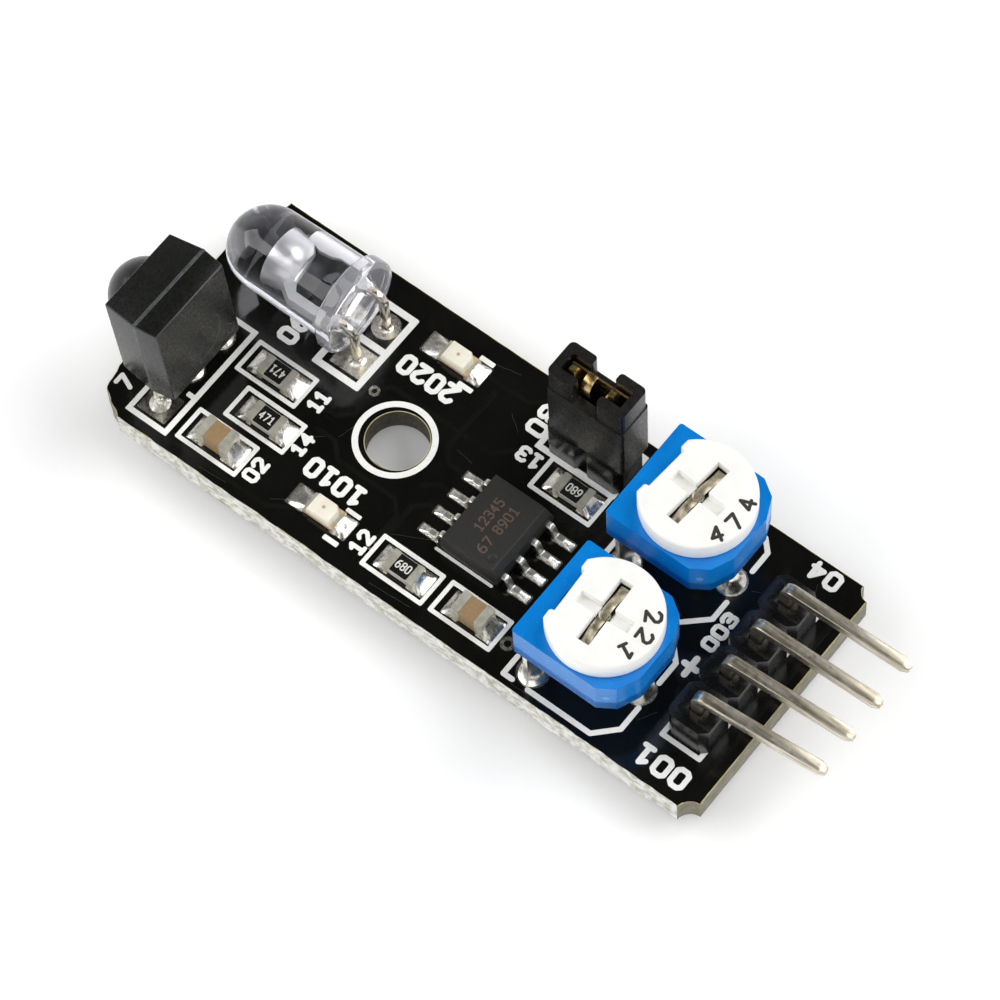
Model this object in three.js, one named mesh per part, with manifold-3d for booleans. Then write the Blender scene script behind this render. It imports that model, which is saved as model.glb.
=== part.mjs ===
// Infrared reflective sensor module: a small printed circuit board that carries a clear
// infrared emitter, a black side-looking infrared receiver, an eight-lead timer chip, two
// blue-and-white trimmer potentiometers, a two-pin jumper with its shunt, chip resistors,
// chip capacitors, two indicator LEDs and a four-pin right-angle header.
//
// Units are millimetres, +Z is up. The origin is the centre of the board's underside, +X
// points from the sensors to the header, +Y points from the capacitor edge to the emitter
// edge. Inside the layout group, x and y are measured from the board's corner by the
// receiver's side and z from the board's top face.

import * as THREE from 'three';
import { mergeVertices } from 'three/addons/utils/BufferGeometryUtils.js';
import { ConvexGeometry } from 'three/addons/geometries/ConvexGeometry.js';
import Module from 'manifold-3d';

const wasm = await Module();
wasm.setup();

// ---------------------------------------------------------------- driving dimensions
const BOARD_LENGTH = 40.4;
const BOARD_WIDTH = 16.0;
const BOARD_THICKNESS = 1.6;
const TAIL_BELOW_BOARD = 1.3;                    // soldered tails under the board
const TAIL_Z = -BOARD_THICKNESS - TAIL_BELOW_BOARD;

const MOUNT_HOLE = { x: 14.85, y: 8.0, r: 1.75 };
const CORNER_NOTCH = { nearRight: 0.85, farRight: 0.65, farLeft: 1.05 };

const RECEIVER = {
  x: 3.27, y: 4.66, lift: 1.9, lean: 4.7,         // lean of the body towards -X, degrees
  halfWidth: 2.92, frontHalfWidth: 2.68, backHalfWidth: 2.74,
  frontDepth: 2.2, backDepth: 1.42, height: 6.55,
  lensR: 2.05, lensX: -2.07, lensZ: 3.99,
  leadPitch: 2.54, leadWidth: 0.5, leadThickness: 0.3, leadInside: 0.7,
};

const EMITTER = {
  backX: 9.45, y: 11.8, z: 3.15, domeR: 2.38, bodyR: 2.46, flangeR: 2.85, flangeLength: 1.0,
  length: 8.55, flatOffset: 2.52, leadPitch: 2.54, lead: 0.5, legX: 10.05,
};

const JUMPER = {
  x: 23.85, y: 13.6, pitch: 2.54, baseWidth: 2.5, baseHeight: 2.5, pin: 0.64,
  pinTop: 8.45, capOffset: [0.2, 0.07], capLength: 5.0, capWidth: 2.35, capBottom: 2.55,
  capShoulder: 6.95, capTop: 8.65, slotLength: 3.9, slotWidth: 1.1, saddle: 1.5,
};

const TRIMMERS = [
  { name: 'trimmer_a', x: 31.81, y: 4.16, bottom: 3.0, turn: 3.0 },
  { name: 'trimmer_b', x: 31.81, y: 12.05, bottom: 3.95, turn: -4.5 },
];
const TRIMMER = {
  left: -3.56, right: 3.34, halfWidth: 3.25, chamfer: 1.5, thickness: 2.35,
  boreR: 2.6, boreDepth: 1.65, discR: 3.15, discThickness: 1.25, discGap: 0.05,
  hubR: 2.35, hubDepth: 0.7, flat: 2.45, flatRecess: 2.2,
  longSlot: [0.85, 4.1, 0.8], shortSlot: [0.75, 3.3, 0.35],
  elementR: 2.5, elementThickness: 0.5, rivetR: 0.42,
  legs: [[-2.84, -2.55], [-2.84, 2.55], [2.19, 0]], legWidth: 0.7, legThickness: 0.3,
};

const CHIP = {
  x: 22.64, y: 6.66, bodyX: 3.9, bodyY: 4.9, bottom: 0.12, mid: 0.85, top: 1.56,
  pitch: 1.27, leadSpan: 6.0, leadWidth: 0.41, leadThickness: 0.2,
};

const RESISTORS = [
  { name: 'resistor_1', x: 7.3, y: 7.2 },
  { name: 'resistor_2', x: 8.6, y: 4.68 },
  { name: 'resistor_3', x: 19.95, y: 2.15 },
  { name: 'resistor_4', x: 24.35, y: 11.12 },
];
const CAPACITORS = [
  { name: 'capacitor_1', x: 7.35, y: 2.15 },
  { name: 'capacitor_2', x: 24.6, y: 2.18 },
];
const INDICATORS = [
  { name: 'power_led', x: 14.5, y: 2.25 },
  { name: 'status_led', x: 14.5, y: 13.75 },
];

const HEADER = {
  x: 37.72, y: 8.1, pitch: 2.54, width: 2.54, height: 2.5, corner: 0.42,
  pin: 0.64, pinZ: 3.83, tipX: 45.4, bendR: 0.75,
  skew: [4.0, 2.7, 1.0, 1.0],                     // how far each pin is bent sideways, degrees
};

// ---------------------------------------------------------------- small solid helpers
const V2 = (x, y) => new THREE.Vector2(x, y);
const rad = (deg) => (deg * Math.PI) / 180;

// closed three.js geometry -> solid, outward facing
function solid(geometry, matrix) {
  let g = geometry.index ? geometry.toNonIndexed() : geometry.clone();
  for (const key of Object.keys(g.attributes)) if (key !== 'position') g.deleteAttribute(key);
  if (matrix) g.applyMatrix4(matrix);
  g = mergeVertices(g, 1e-5);
  const p = g.attributes.position.array;
  const idx = g.index.array;
  const tri = [];
  let volume = 0;
  for (let i = 0; i < idx.length; i += 3) {
    const [a, b, c] = [idx[i], idx[i + 1], idx[i + 2]];
    if (a === b || b === c || a === c) continue;
    tri.push(a, b, c);
    volume += p[3 * a] * (p[3 * b + 1] * p[3 * c + 2] - p[3 * b + 2] * p[3 * c + 1])
      - p[3 * a + 1] * (p[3 * b] * p[3 * c + 2] - p[3 * b + 2] * p[3 * c])
      + p[3 * a + 2] * (p[3 * b] * p[3 * c + 1] - p[3 * b + 1] * p[3 * c]);
  }
  if (volume < 0) for (let i = 0; i < tri.length; i += 3) [tri[i + 1], tri[i + 2]] = [tri[i + 2], tri[i + 1]];
  return new wasm.Manifold(new wasm.Mesh({
    numProp: 3, vertProperties: new Float32Array(p), triVerts: new Uint32Array(tri),
  }));
}

const place = (x, y, z) => new THREE.Matrix4().makeTranslation(x, y, z);

function box(x0, x1, y0, y1, z0, z1) {
  return solid(new THREE.BoxGeometry(x1 - x0, y1 - y0, z1 - z0),
    place((x0 + x1) / 2, (y0 + y1) / 2, (z0 + z1) / 2));
}

function shapeOf(points) {
  return new THREE.Shape(points.map(([x, y]) => V2(x, y)));
}

// outline in x,y raised from z0 to z1
function prismZ(points, z0, z1, holes = []) {
  const shape = shapeOf(points);
  for (const h of holes) shape.holes.push(new THREE.Path(h.map(([x, y]) => V2(x, y))));
  return solid(new THREE.ExtrudeGeometry(shape, { depth: z1 - z0, bevelEnabled: false }), place(0, 0, z0));
}

// outline in x,z swept from y0 to y1
function prismY(points, y0, y1) {
  const m = new THREE.Matrix4().makeRotationX(Math.PI / 2);
  m.premultiply(place(0, y1, 0));
  return solid(new THREE.ExtrudeGeometry(shapeOf(points), { depth: y1 - y0, bevelEnabled: false }), m);
}

function cylinderZ(r, z0, z1, segments, x = 0, y = 0, rTop = r) {
  const m = new THREE.Matrix4().makeRotationX(Math.PI / 2);
  m.premultiply(place(x, y, (z0 + z1) / 2));
  return solid(new THREE.CylinderGeometry(rTop, r, z1 - z0, segments), m);
}

// cylinder or cone along x; r0 at x0, r1 at x1
function cylinderX(r0, r1, x0, x1, segments, y = 0, z = 0) {
  const m = new THREE.Matrix4().makeRotationZ(-Math.PI / 2);
  m.premultiply(place((x0 + x1) / 2, y, z));
  return solid(new THREE.CylinderGeometry(r1, r0, x1 - x0, segments), m);
}

function circle(x, y, r, n) {
  return Array.from({ length: n }, (_, i) => {
    const a = (2 * Math.PI * (i + 0.5)) / n;
    return [x + r * Math.cos(a), y + r * Math.sin(a)];
  });
}

function arc(x, y, r, from, to, n) {
  return Array.from({ length: n + 1 }, (_, i) => {
    const a = rad(from + ((to - from) * i) / n);
    return [x + r * Math.cos(a), y + r * Math.sin(a)];
  });
}

const union = (list) => list.reduce((a, b) => a.add(b));

const layout = new THREE.Group();
layout.position.set(-BOARD_LENGTH / 2, -BOARD_WIDTH / 2, BOARD_THICKNESS);

function part(name, shape, color, roughness, metalness, parent = layout) {
  const m = shape.getMesh();
  const g = new THREE.BufferGeometry();
  const n = m.vertProperties.length / m.numProp;
  const pos = new Float32Array(n * 3);
  for (let i = 0; i < n; i++) for (let k = 0; k < 3; k++) pos[3 * i + k] = m.vertProperties[i * m.numProp + k];
  g.setAttribute('position', new THREE.BufferAttribute(pos, 3));
  g.setIndex(new THREE.BufferAttribute(new Uint32Array(m.triVerts), 1));
  g.computeVertexNormals();
  const mesh = new THREE.Mesh(g, new THREE.MeshStandardMaterial({ color, roughness, metalness }));
  mesh.name = name;
  parent.add(mesh);
  return mesh;
}

// ---------------------------------------------------------------- circuit board
const emitterLegs = [-1, 1].map((s) => [EMITTER.legX, EMITTER.y + (s * EMITTER.leadPitch) / 2]);
const receiverLegs = [-1, 0, 1].map((s) => [RECEIVER.x, RECEIVER.y + s * RECEIVER.leadPitch]);
const jumperPins = [-1, 1].map((s) => [JUMPER.x + (s * JUMPER.pitch) / 2, JUMPER.y]);
const headerPins = [0, 1, 2, 3].map((i) => [HEADER.x, HEADER.y + (i - 1.5) * HEADER.pitch]);
const trimmerLegs = TRIMMERS.flatMap((t) => TRIMMER.legs.map(([dx, dy]) => [t.x + dx, t.y + dy]));

{
  const L = BOARD_LENGTH;
  const W = BOARD_WIDTH;
  const outline = [
    [2.07, 0], [L - CORNER_NOTCH.nearRight, 0],
    ...arc(L, 0, CORNER_NOTCH.nearRight, 180, 90, 5).slice(1),
    ...arc(L, W, CORNER_NOTCH.farRight, 270, 180, 4),
    ...arc(0, W, CORNER_NOTCH.farLeft, 360, 270, 6),
    // broken near-left corner: two shallow scallops left by the break-off tab
    [0, 2.58], [0.12, 2.2], [0.2, 1.7], [0.24, 1.35], [0.38, 1.06],
    [0.72, 0.86], [1.05, 0.58], [1.45, 0.4], [1.8, 0.2],
  ];
  const holes = [circle(MOUNT_HOLE.x, MOUNT_HOLE.y, MOUNT_HOLE.r, 32)];
  for (const [x, y] of receiverLegs) holes.push(circle(x, y, 0.42, 10));
  for (const [x, y] of emitterLegs) holes.push(circle(x, y, 0.46, 10));
  for (const [x, y] of trimmerLegs) holes.push(circle(x, y, 0.5, 10));
  for (const [x, y] of [...jumperPins, ...headerPins]) holes.push(circle(x, y, 0.52, 12));
  part('circuit_board', prismZ(outline, -BOARD_THICKNESS, 0, holes), 0x11110e, 0.25, 0.0);
}

// ---------------------------------------------------------------- infrared receiver
{
  const R = RECEIVER;
  const pts = [];
  const ring = (x, w, lo, hi) => {
    for (const s of [-1, 1]) for (const z of [lo, hi]) pts.push(new THREE.Vector3(x, s * w, z));
  };
  ring(-R.frontDepth, R.frontHalfWidth, 0.16, R.height - 0.14);
  ring(0, R.halfWidth, 0, R.height);
  ring(R.backDepth, R.backHalfWidth, 0.1, R.height - 0.08);
  let body = solid(new ConvexGeometry(pts));
  body = body.add(solid(new THREE.SphereGeometry(R.lensR, 24, 16), place(R.lensX, 0, R.lensZ)));
  for (const s of [-1, 0, 1]) {
    const y = s * R.leadPitch;
    body = body.subtract(box(-0.27, 0.3, y - 0.31, y + 0.31, -0.3, R.leadInside + 0.12));
  }
  const tilt = new THREE.Group();
  tilt.position.set(R.x, R.y, R.lift);
  tilt.rotation.y = rad(-R.lean);
  layout.add(tilt);
  part('ir_receiver_body', body, 0x1c1c1a, 0.35, 0.0, tilt);
  receiverLegs.forEach(([x, y], i) => {
    const t = R.leadThickness / 2;
    const w = R.leadWidth / 2;
    const lead = box(x - t, x + t, y - w, y + w, TAIL_Z, R.lift + R.leadInside - 0.1);
    part(`ir_receiver_lead_${i + 1}`, lead, 0xc9c7bf, 0.3, 1.0);
  });
}

// ---------------------------------------------------------------- infrared emitter
{
  const E = EMITTER;
  // profile runs from the flat back to the dome's tip
  const profile = [V2(0, 0), V2(E.flangeR, 0), V2(E.flangeR, E.flangeLength), V2(E.bodyR, E.flangeLength)];
  const domeZ = E.length - E.domeR;
  for (let i = 0; i <= 8; i++) {
    const a = (Math.PI / 2) * (i / 8);
    profile.push(V2(i === 8 ? 0 : E.domeR * Math.cos(a), domeZ + E.domeR * Math.sin(a)));
  }
  const lathe = new THREE.LatheGeometry(profile, 32);
  // lathe axis +Y becomes -X
  const m = new THREE.Matrix4().makeRotationZ(Math.PI / 2);
  m.premultiply(place(E.backX, E.y, E.z));
  let lens = solid(lathe, m);
  // the flange is cut flat beside the cathode
  lens = lens.subtract(box(E.backX - E.flangeLength, E.backX + 1, E.y - 4, E.y - E.flatOffset, E.z - 4, E.z + 4));

  const y0 = E.y - E.leadPitch / 2;
  const y1 = E.y + E.leadPitch / 2;
  const h = E.lead / 2;
  const leg = (y) => {
    // side profile: out of the back, over a rounded bend, straight down through the board
    const zt = E.z + h;
    const xr = E.legX + h;
    const outer = arc(xr - 0.7, zt - 0.7, 0.7, 90, 0, 5);
    const inner = arc(xr - 0.7, zt - 0.7, 0.2, 0, 90, 3);
    return prismY([[8.3, zt], ...outer, [xr, TAIL_Z], [xr - 2 * h, TAIL_Z], ...inner, [8.3, zt - 2 * h]], y - h, y + h);
  };
  // cathode side: a stamped anvil with the reflector cup at its end
  let cathode = union([
    leg(y0),
    prismZ([[8.5, y0 + h], [8.5, y0 - h], [7.6, y0 - 0.1], [5.2, E.y - 0.9], [5.2, E.y + 0.2], [7.2, E.y + 0.2], [7.7, y0 + h]], E.z - h, E.z + h),
    cylinderX(0.85, 0.85, 4.4, 5.6, 20, E.y, E.z),
  ]);
  cathode = cathode.subtract(cylinderX(0.7, 0.36, 4.3, 4.95, 20, E.y, E.z));
  const anode = union([
    leg(y1),
    prismZ([[8.5, y1 + h], [6.1, E.y + 1.35], [6.1, E.y + 0.6], [7.0, E.y + 0.6], [7.6, y1 - h], [8.5, y1 - h]], E.z - h, E.z + h),
  ]);
  const die = box(4.6, 4.92, E.y - 0.17, E.y + 0.17, E.z - 0.17, E.z + 0.17);

  // the epoxy is moulded round the frame: one open pocket for each lead
  const c = 0.04;
  const pocket = union([
    box(8.2, E.backX + 1, y0 - h - c, y0 + h + c, E.z - h - c, E.z + h + c),
    box(8.2, E.backX + 1, y1 - h - c, y1 + h + c, E.z - h - c, E.z + h + c),
    prismZ([[8.6, y0 + h + c], [8.6, y0 - h - c], [7.6, y0 - 0.1 - c], [5.1, E.y - 0.9 - c], [5.1, E.y + 0.2 + c], [7.2 + c, E.y + 0.2 + c], [7.7 + c, y0 + h + c]], E.z - h - c, E.z + h + c),
    prismZ([[8.6, y1 + h + c], [6.1 - c, E.y + 1.35 + c + 0.02], [6.1 - c, E.y + 0.6 - c], [7.0 + c, E.y + 0.6 - c], [7.6 + c, y1 - h - c], [8.6, y1 - h - c]], E.z - h - c, E.z + h + c),
    cylinderX(0.85 + c + 0.01, 0.85 + c + 0.01, 4.4 - c, 5.6 + c, 20, E.y, E.z),
  ]);
  part('ir_emitter_lens', lens.subtract(pocket), 0xe9edf2, 0.05, 0.0);
  part('ir_emitter_cathode_lead', cathode, 0xd9d9d6, 0.25, 1.0);
  part('ir_emitter_anode_lead', anode, 0xd9d9d6, 0.25, 1.0);
  part('ir_emitter_die', die, 0x7d7a66, 0.4, 0.2);
}

// ---------------------------------------------------------------- jumper and shunt
// one strip of pin-header moulding along x or y, made of eight-sided cells
function headerCells(cx, cy, cells, pitch, width, corner, z0, z1, alongY) {
  const half = (cells * pitch) / 2;
  const side = [];
  for (let i = 0; i < cells; i++) {
    const a = -half + i * pitch;
    side.push([a + (i === 0 ? 0 : 0), width / 2 - corner], [a + corner, width / 2], [a + pitch - corner, width / 2], [a + pitch, width / 2 - corner]);
  }
  const clean = side.filter((p, i) => i === 0 || Math.hypot(p[0] - side[i - 1][0], p[1] - side[i - 1][1]) > 1e-6);
  const pts = [...clean, ...clean.slice().reverse().map(([a, b]) => [a, -b])];
  const world = pts.map(([a, b]) => (alongY ? [cx + b, cy + a] : [cx + a, cy - b]));
  return prismZ(world, z0, z1);
}

{
  const J = JUMPER;
  const h = J.pin / 2;
  let base = headerCells(J.x, J.y, 2, J.pitch, J.baseWidth, 0.42, 0.03, J.baseHeight, false);
  for (const [x, y] of jumperPins) base = base.subtract(box(x - h - 0.03, x + h + 0.03, y - h - 0.03, y + h + 0.03, -1, 4));
  part('jumper_header_base', base, 0x1b1b1b, 0.45, 0.0);

  jumperPins.forEach(([x, y], i) => {
    const t = 0.2;
    const front = prismY([[x - h, TAIL_Z + 0.25], [x - t, TAIL_Z], [x + t, TAIL_Z], [x + h, TAIL_Z + 0.25], [x + h, J.pinTop - 0.3], [x + t, J.pinTop], [x - t, J.pinTop], [x - h, J.pinTop - 0.3]], y - h, y + h);
    part(`jumper_pin_${i + 1}`, front, 0xcda85b, 0.3, 1.0);
  });

  // the shunt sits a little off centre on its pins
  const cx = J.x + J.capOffset[0];
  const cy = J.y + J.capOffset[1];
  const x0 = cx - J.capLength / 2;
  const x1 = cx + J.capLength / 2;
  const y0 = cy - J.capWidth / 2;
  const y1 = cy + J.capWidth / 2;
  const cut = (x0_, x1_, y0_, y1_, c) => [[x0_ + c, y0_], [x1_ - c, y0_], [x1_, y0_ + c], [x1_, y1_ - c], [x1_ - c, y1_], [x0_ + c, y1_], [x0_, y1_ - c], [x0_, y0_ + c]];
  let cap = prismZ(cut(x0, x1, y0, y1, 0.18), J.capBottom, J.capShoulder);
  cap = cap.add(prismZ(cut(x0 + 0.05, x1 - 0.05, y0 + 0.05, y1 - 0.05, 0.22), J.capShoulder - 0.2, J.capTop));
  cap = cap.subtract(box(cx - J.saddle / 2, cx + J.saddle / 2, y0 - 1, y1 + 1, J.capShoulder - 0.02, J.capTop + 1));
  cap = cap.subtract(box(cx - J.slotLength / 2, cx + J.slotLength / 2, cy - J.slotWidth / 2, cy + J.slotWidth / 2, 0, 10));
  part('jumper_cap', cap, 0x232323, 0.4, 0.0);

  // sprung brass contact: a plate behind both pins with a curled tongue between them
  const yc = J.y;
  const contact = prismZ([
    [J.x - 1.65, yc + 0.37], [J.x - 0.5, yc + 0.37], [J.x - 0.42, yc - 0.2], [J.x - 0.12, yc - 0.42],
    [J.x + 0.12, yc - 0.42], [J.x + 0.42, yc - 0.2], [J.x + 0.5, yc + 0.37], [J.x + 2.0, yc + 0.37],
    [J.x + 2.0, yc + 0.51], [J.x + 0.36, yc + 0.51], [J.x + 0.28, yc - 0.12], [J.x + 0.06, yc - 0.28],
    [J.x - 0.06, yc - 0.28], [J.x - 0.28, yc - 0.12], [J.x - 0.36, yc + 0.51], [J.x - 1.65, yc + 0.51],
  ], 3.0, 8.15);
  part('jumper_contact', contact, 0xc9b37a, 0.3, 1.0);
}

// ---------------------------------------------------------------- trimmer potentiometers
for (const t of TRIMMERS) {
  const T = TRIMMER;
  const g = new THREE.Group();
  g.position.set(t.x, t.y, t.bottom);
  layout.add(g);
  const top = T.thickness;
  const floor = top - T.boreDepth;
  const c = T.chamfer;
  const W = T.halfWidth;

  let body = prismZ([
    [T.left, -W], [T.right - c, -W], [T.right - 0.55, -W + 0.62], [T.right, -W + c + 0.35], [T.right, W - c - 0.35],
    [T.right - 0.55, W - 0.62], [T.right - c, W], [T.left, W],
  ], 0, top);
  body = body.subtract(cylinderZ(T.boreR, floor, top + 1, 32));
  body = body.subtract(cylinderZ(0.5, -1, top, 16));
  for (const [x, y] of T.legs) body = body.subtract(box(x - 0.2, x + 0.2, y - 0.4, y + 0.4, -1, 0.5));
  part(`${t.name}_housing`, body, 0x1488e0, 0.35, 0.0, g);

  // resistive element: a flat ring on the floor of the housing
  const element = cylinderZ(T.elementR, floor + 0.02, floor + T.elementThickness, 28).subtract(cylinderZ(0.6, floor - 1, floor + 2, 16));
  part(`${t.name}_element`, element, 0x3a3632, 0.7, 0.0, g);

  // rotor: marked disc over a hub, with a cross slot for the screwdriver
  const turn = new THREE.Group();
  turn.rotation.z = rad(t.turn);
  g.add(turn);
  const discBottom = top + T.discGap;
  const discTop = discBottom + T.discThickness;
  const hubBottom = top - T.hubDepth;
  let rotor = cylinderZ(T.discR, discBottom, discTop, 40).add(cylinderZ(T.hubR, hubBottom, discBottom + 0.1, 28));
  rotor = rotor.subtract(box(-5, -T.flat, -5, 5, 0, 6));
  rotor = rotor.subtract(box(-5, -T.flatRecess, -1.35, 1.35, discBottom - 0.01, 6));
  const [lw, ll, ld] = T.longSlot;
  const [sw, sl, sd] = T.shortSlot;
  rotor = rotor.subtract(box(-lw / 2, lw / 2, -ll / 2, ll / 2, discTop - ld, 6));
  rotor = rotor.subtract(box(-sl / 2, sl / 2, -sw / 2, sw / 2, discTop - sd, 6));
  rotor = rotor.subtract(cylinderZ(T.rivetR + 0.04, 0, 6, 16));
  part(`${t.name}_rotor`, rotor, 0xf4f2ec, 0.45, 0.0, turn);

  // wiper: a strip along the floor of the long slot with a rivet down through the hub and
  // a bar under the hub that runs on the element
  const stripZ = discTop - ld + 0.02;
  let wiper = box(-0.34, 0.34, -1.9, 1.9, stripZ, stripZ + 0.16);
  wiper = wiper.add(cylinderZ(T.rivetR, 0.25, stripZ + 0.3, 16));
  wiper = wiper.add(box(-1.9, 0.2, -0.3, 0.3, hubBottom - 0.22, hubBottom - 0.04));
  part(`${t.name}_wiper`, wiper, 0xc8bfa6, 0.3, 1.0, turn);

  T.legs.forEach(([x, y], i) => {
    const w = T.legWidth / 2;
    const th = T.legThickness / 2;
    const foot = TAIL_Z - t.bottom;
    const seat = -t.bottom + 0.06;               // shoulders that stand on the board
    let leg = box(x - th, x + th, y - w, y + w, foot, 0.44);
    leg = leg.add(box(x - th, x + th, y - 0.62, y + 0.62, seat, -0.06));
    part(`${t.name}_leg_${i + 1}`, leg, 0xc6c4bd, 0.3, 1.0, g);
  });
}

// ---------------------------------------------------------------- timer chip
{
  const C = CHIP;
  const g = new THREE.Group();
  g.position.set(C.x, C.y, 0);
  layout.add(g);
  const hx = C.bodyX / 2;
  const hy = C.bodyY / 2;
  const pts = [];
  const add = (x0, x1, y, z) => { for (const s of [-1, 1]) pts.push(new THREE.Vector3(x0, s * y, z), new THREE.Vector3(x1, s * y, z)); };
  add(-hx + 0.12, hx - 0.12, hy - 0.12, C.bottom);
  add(-hx, hx, hy, C.mid - 0.1);
  add(-hx, hx, hy, C.mid + 0.1);
  add(-hx + 0.1, hx - 0.1, hy - 0.1, C.top - 0.3);
  add(-hx + 0.13, hx - 0.45, hy - 0.13, C.top);
  let body = solid(new ConvexGeometry(pts));
  body = body.subtract(cylinderZ(0.27, C.top - 0.07, C.top + 1, 16, hx - 0.85, -hy + 0.75));
  part('timer_chip_body', body, 0x262624, 0.5, 0.0, g);

  const t = C.leadThickness;
  const z = C.mid;
  const end = C.leadSpan / 2;
  const start = hx + 0.03;
  const wing = [
    [start, z + t / 2], [start + 0.2, z + t / 2], [start + 0.34, z + t / 2 - 0.08], [end - 0.46, 0.04 + t + 0.06], [end - 0.36, 0.04 + t], [end, 0.04 + t],
    [end, 0.04], [end - 0.46, 0.04], [end - 0.6, 0.12], [start + 0.2, z - t / 2 - 0.04], [start + 0.1, z - t / 2], [start, z - t / 2],
  ];
  const w = C.leadWidth / 2;
  for (let i = 0; i < 8; i++) {
    const right = i < 4;                          // leads 1-4 on the bevelled side
    const y = (right ? i - 1.5 : 5.5 - i) * C.pitch;
    const side = right ? wing : wing.map(([x, zz]) => [-x, zz]).reverse();
    part(`timer_chip_lead_${i + 1}`, prismY(side, y - w, y + w), 0xc9c8c2, 0.3, 1.0, g);
  }
}

// ---------------------------------------------------------------- chip resistors and capacitors
for (const r of RESISTORS) {
  const chip = union([
    box(r.x - 0.98, r.x + 0.98, r.y - 0.6, r.y + 0.6, 0.07, 0.5),
    box(r.x - 1.0, r.x - 0.62, r.y - 0.625, r.y + 0.625, 0.05, 0.53),
    box(r.x + 0.62, r.x + 1.0, r.y - 0.625, r.y + 0.625, 0.05, 0.53),
  ]);
  part(r.name, chip, 0x1a1a1a, 0.4, 0.0);
}
for (const k of CAPACITORS) {
  const chip = union([
    box(k.x - 0.98, k.x + 0.98, k.y - 0.6, k.y + 0.6, 0.07, 1.2),
    box(k.x - 1.0, k.x - 0.52, k.y - 0.64, k.y + 0.64, 0.05, 1.25),
    box(k.x + 0.52, k.x + 1.0, k.y - 0.64, k.y + 0.64, 0.05, 1.25),
  ]);
  part(k.name, chip, 0x9b7248, 0.5, 0.0);
}

// ---------------------------------------------------------------- indicator LEDs
for (const d of INDICATORS) {
  part(`${d.name}_base`, box(d.x - 1.02, d.x + 1.02, d.y - 0.625, d.y + 0.625, 0.05, 0.34), 0xe7d9bd, 0.5, 0.0);
  const lens = prismZ([
    [d.x - 0.8, d.y - 0.62], [d.x + 0.8, d.y - 0.62], [d.x + 0.8, d.y + 0.3], [d.x + 0.5, d.y + 0.62], [d.x - 0.8, d.y + 0.62],
  ], 0.37, 0.78);
  part(`${d.name}_lens`, lens, 0xf7f1e2, 0.35, 0.0);
}

// ---------------------------------------------------------------- right-angle header
{
  const H = HEADER;
  const h = H.pin / 2;
  let housing = headerCells(H.x, H.y, 4, H.pitch, H.width, H.corner, 0.03, H.height, true);
  for (const [x, y] of headerPins) housing = housing.subtract(box(x - h - 0.06, x + h + 0.06, y - h - 0.06, y + h + 0.06, -1, 4));
  part('pin_header_housing', housing, 0x1a1a1b, 0.45, 0.0);

  headerPins.forEach(([x, y], i) => {
    // built at the origin, then turned about its own upright leg
    const zt = H.pinZ + h;
    const r = H.bendR;
    const reach = H.tipX - x;
    const outer = arc(-h + r, zt - r, r, 180, 90, 5);
    const inner = arc(-h + r, zt - r, r - H.pin, 90, 180, 3);
    const side = prismY([
      [-0.2, TAIL_Z], [0.2, TAIL_Z], [h, TAIL_Z + 0.25],
      ...inner.slice().reverse(),
      [reach - 0.75, zt - H.pin], [reach, zt - h - 0.14], [reach, zt - h + 0.14], [reach - 0.75, zt],
      ...outer.slice().reverse(), [-h, TAIL_Z + 0.25],
    ], -h, h);
    const plan = prismZ([[-1, -h], [reach - 0.75, -h], [reach, -0.14], [reach, 0.14], [reach - 0.75, h], [-1, h]], -5, 6);
    const g = new THREE.Group();
    g.position.set(x, y, 0);
    g.rotation.z = rad(H.skew[i]);
    layout.add(g);
    part(`pin_header_pin_${i + 1}`, side.intersect(plan), 0xb5b2aa, 0.35, 1.0, g);
  });
}

const module_ = new THREE.Group();
module_.name = 'infrared_sensor_module';
module_.add(layout);
module_.updateMatrixWorld(true);

export default module_;
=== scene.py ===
import math
import bpy
import bmesh
from mathutils import Vector, Matrix, noise
from mathutils.geometry import tessellate_polygon


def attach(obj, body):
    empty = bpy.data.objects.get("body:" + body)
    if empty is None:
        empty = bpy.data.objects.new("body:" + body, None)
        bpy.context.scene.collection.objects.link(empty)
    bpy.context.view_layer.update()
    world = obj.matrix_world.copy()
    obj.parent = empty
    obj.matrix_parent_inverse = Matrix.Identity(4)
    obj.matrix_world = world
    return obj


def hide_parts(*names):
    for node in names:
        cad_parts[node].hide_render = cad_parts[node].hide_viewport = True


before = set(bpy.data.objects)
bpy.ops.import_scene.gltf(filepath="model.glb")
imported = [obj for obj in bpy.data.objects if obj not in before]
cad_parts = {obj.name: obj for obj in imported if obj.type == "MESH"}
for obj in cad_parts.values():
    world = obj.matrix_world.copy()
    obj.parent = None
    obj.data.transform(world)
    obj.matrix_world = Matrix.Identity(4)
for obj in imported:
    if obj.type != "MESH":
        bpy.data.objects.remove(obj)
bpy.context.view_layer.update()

scene = bpy.context.scene
for name in ("Cube", "Light", "Camera"):
    if name in bpy.data.objects:
        bpy.data.objects.remove(bpy.data.objects[name])

# Layout coordinates: millimetres from the board's corner by the receiver, z from the board's top face.
LAY = Matrix.Scale(0.001, 4) @ Matrix.Translation((-20.2, -8.0, 1.6))
T = Matrix.Translation
rad = math.radians
cos, sin, pi = math.cos, math.sin, math.pi


def rot(deg, axis="Z"):
    return Matrix.Rotation(rad(deg), 4, axis)


def n3(x, y, z, s=1.0, k=0.0):
    return noise.noise(Vector((x * s + k, y * s + 3.1 * k, z * s - 1.7 * k)))


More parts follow.
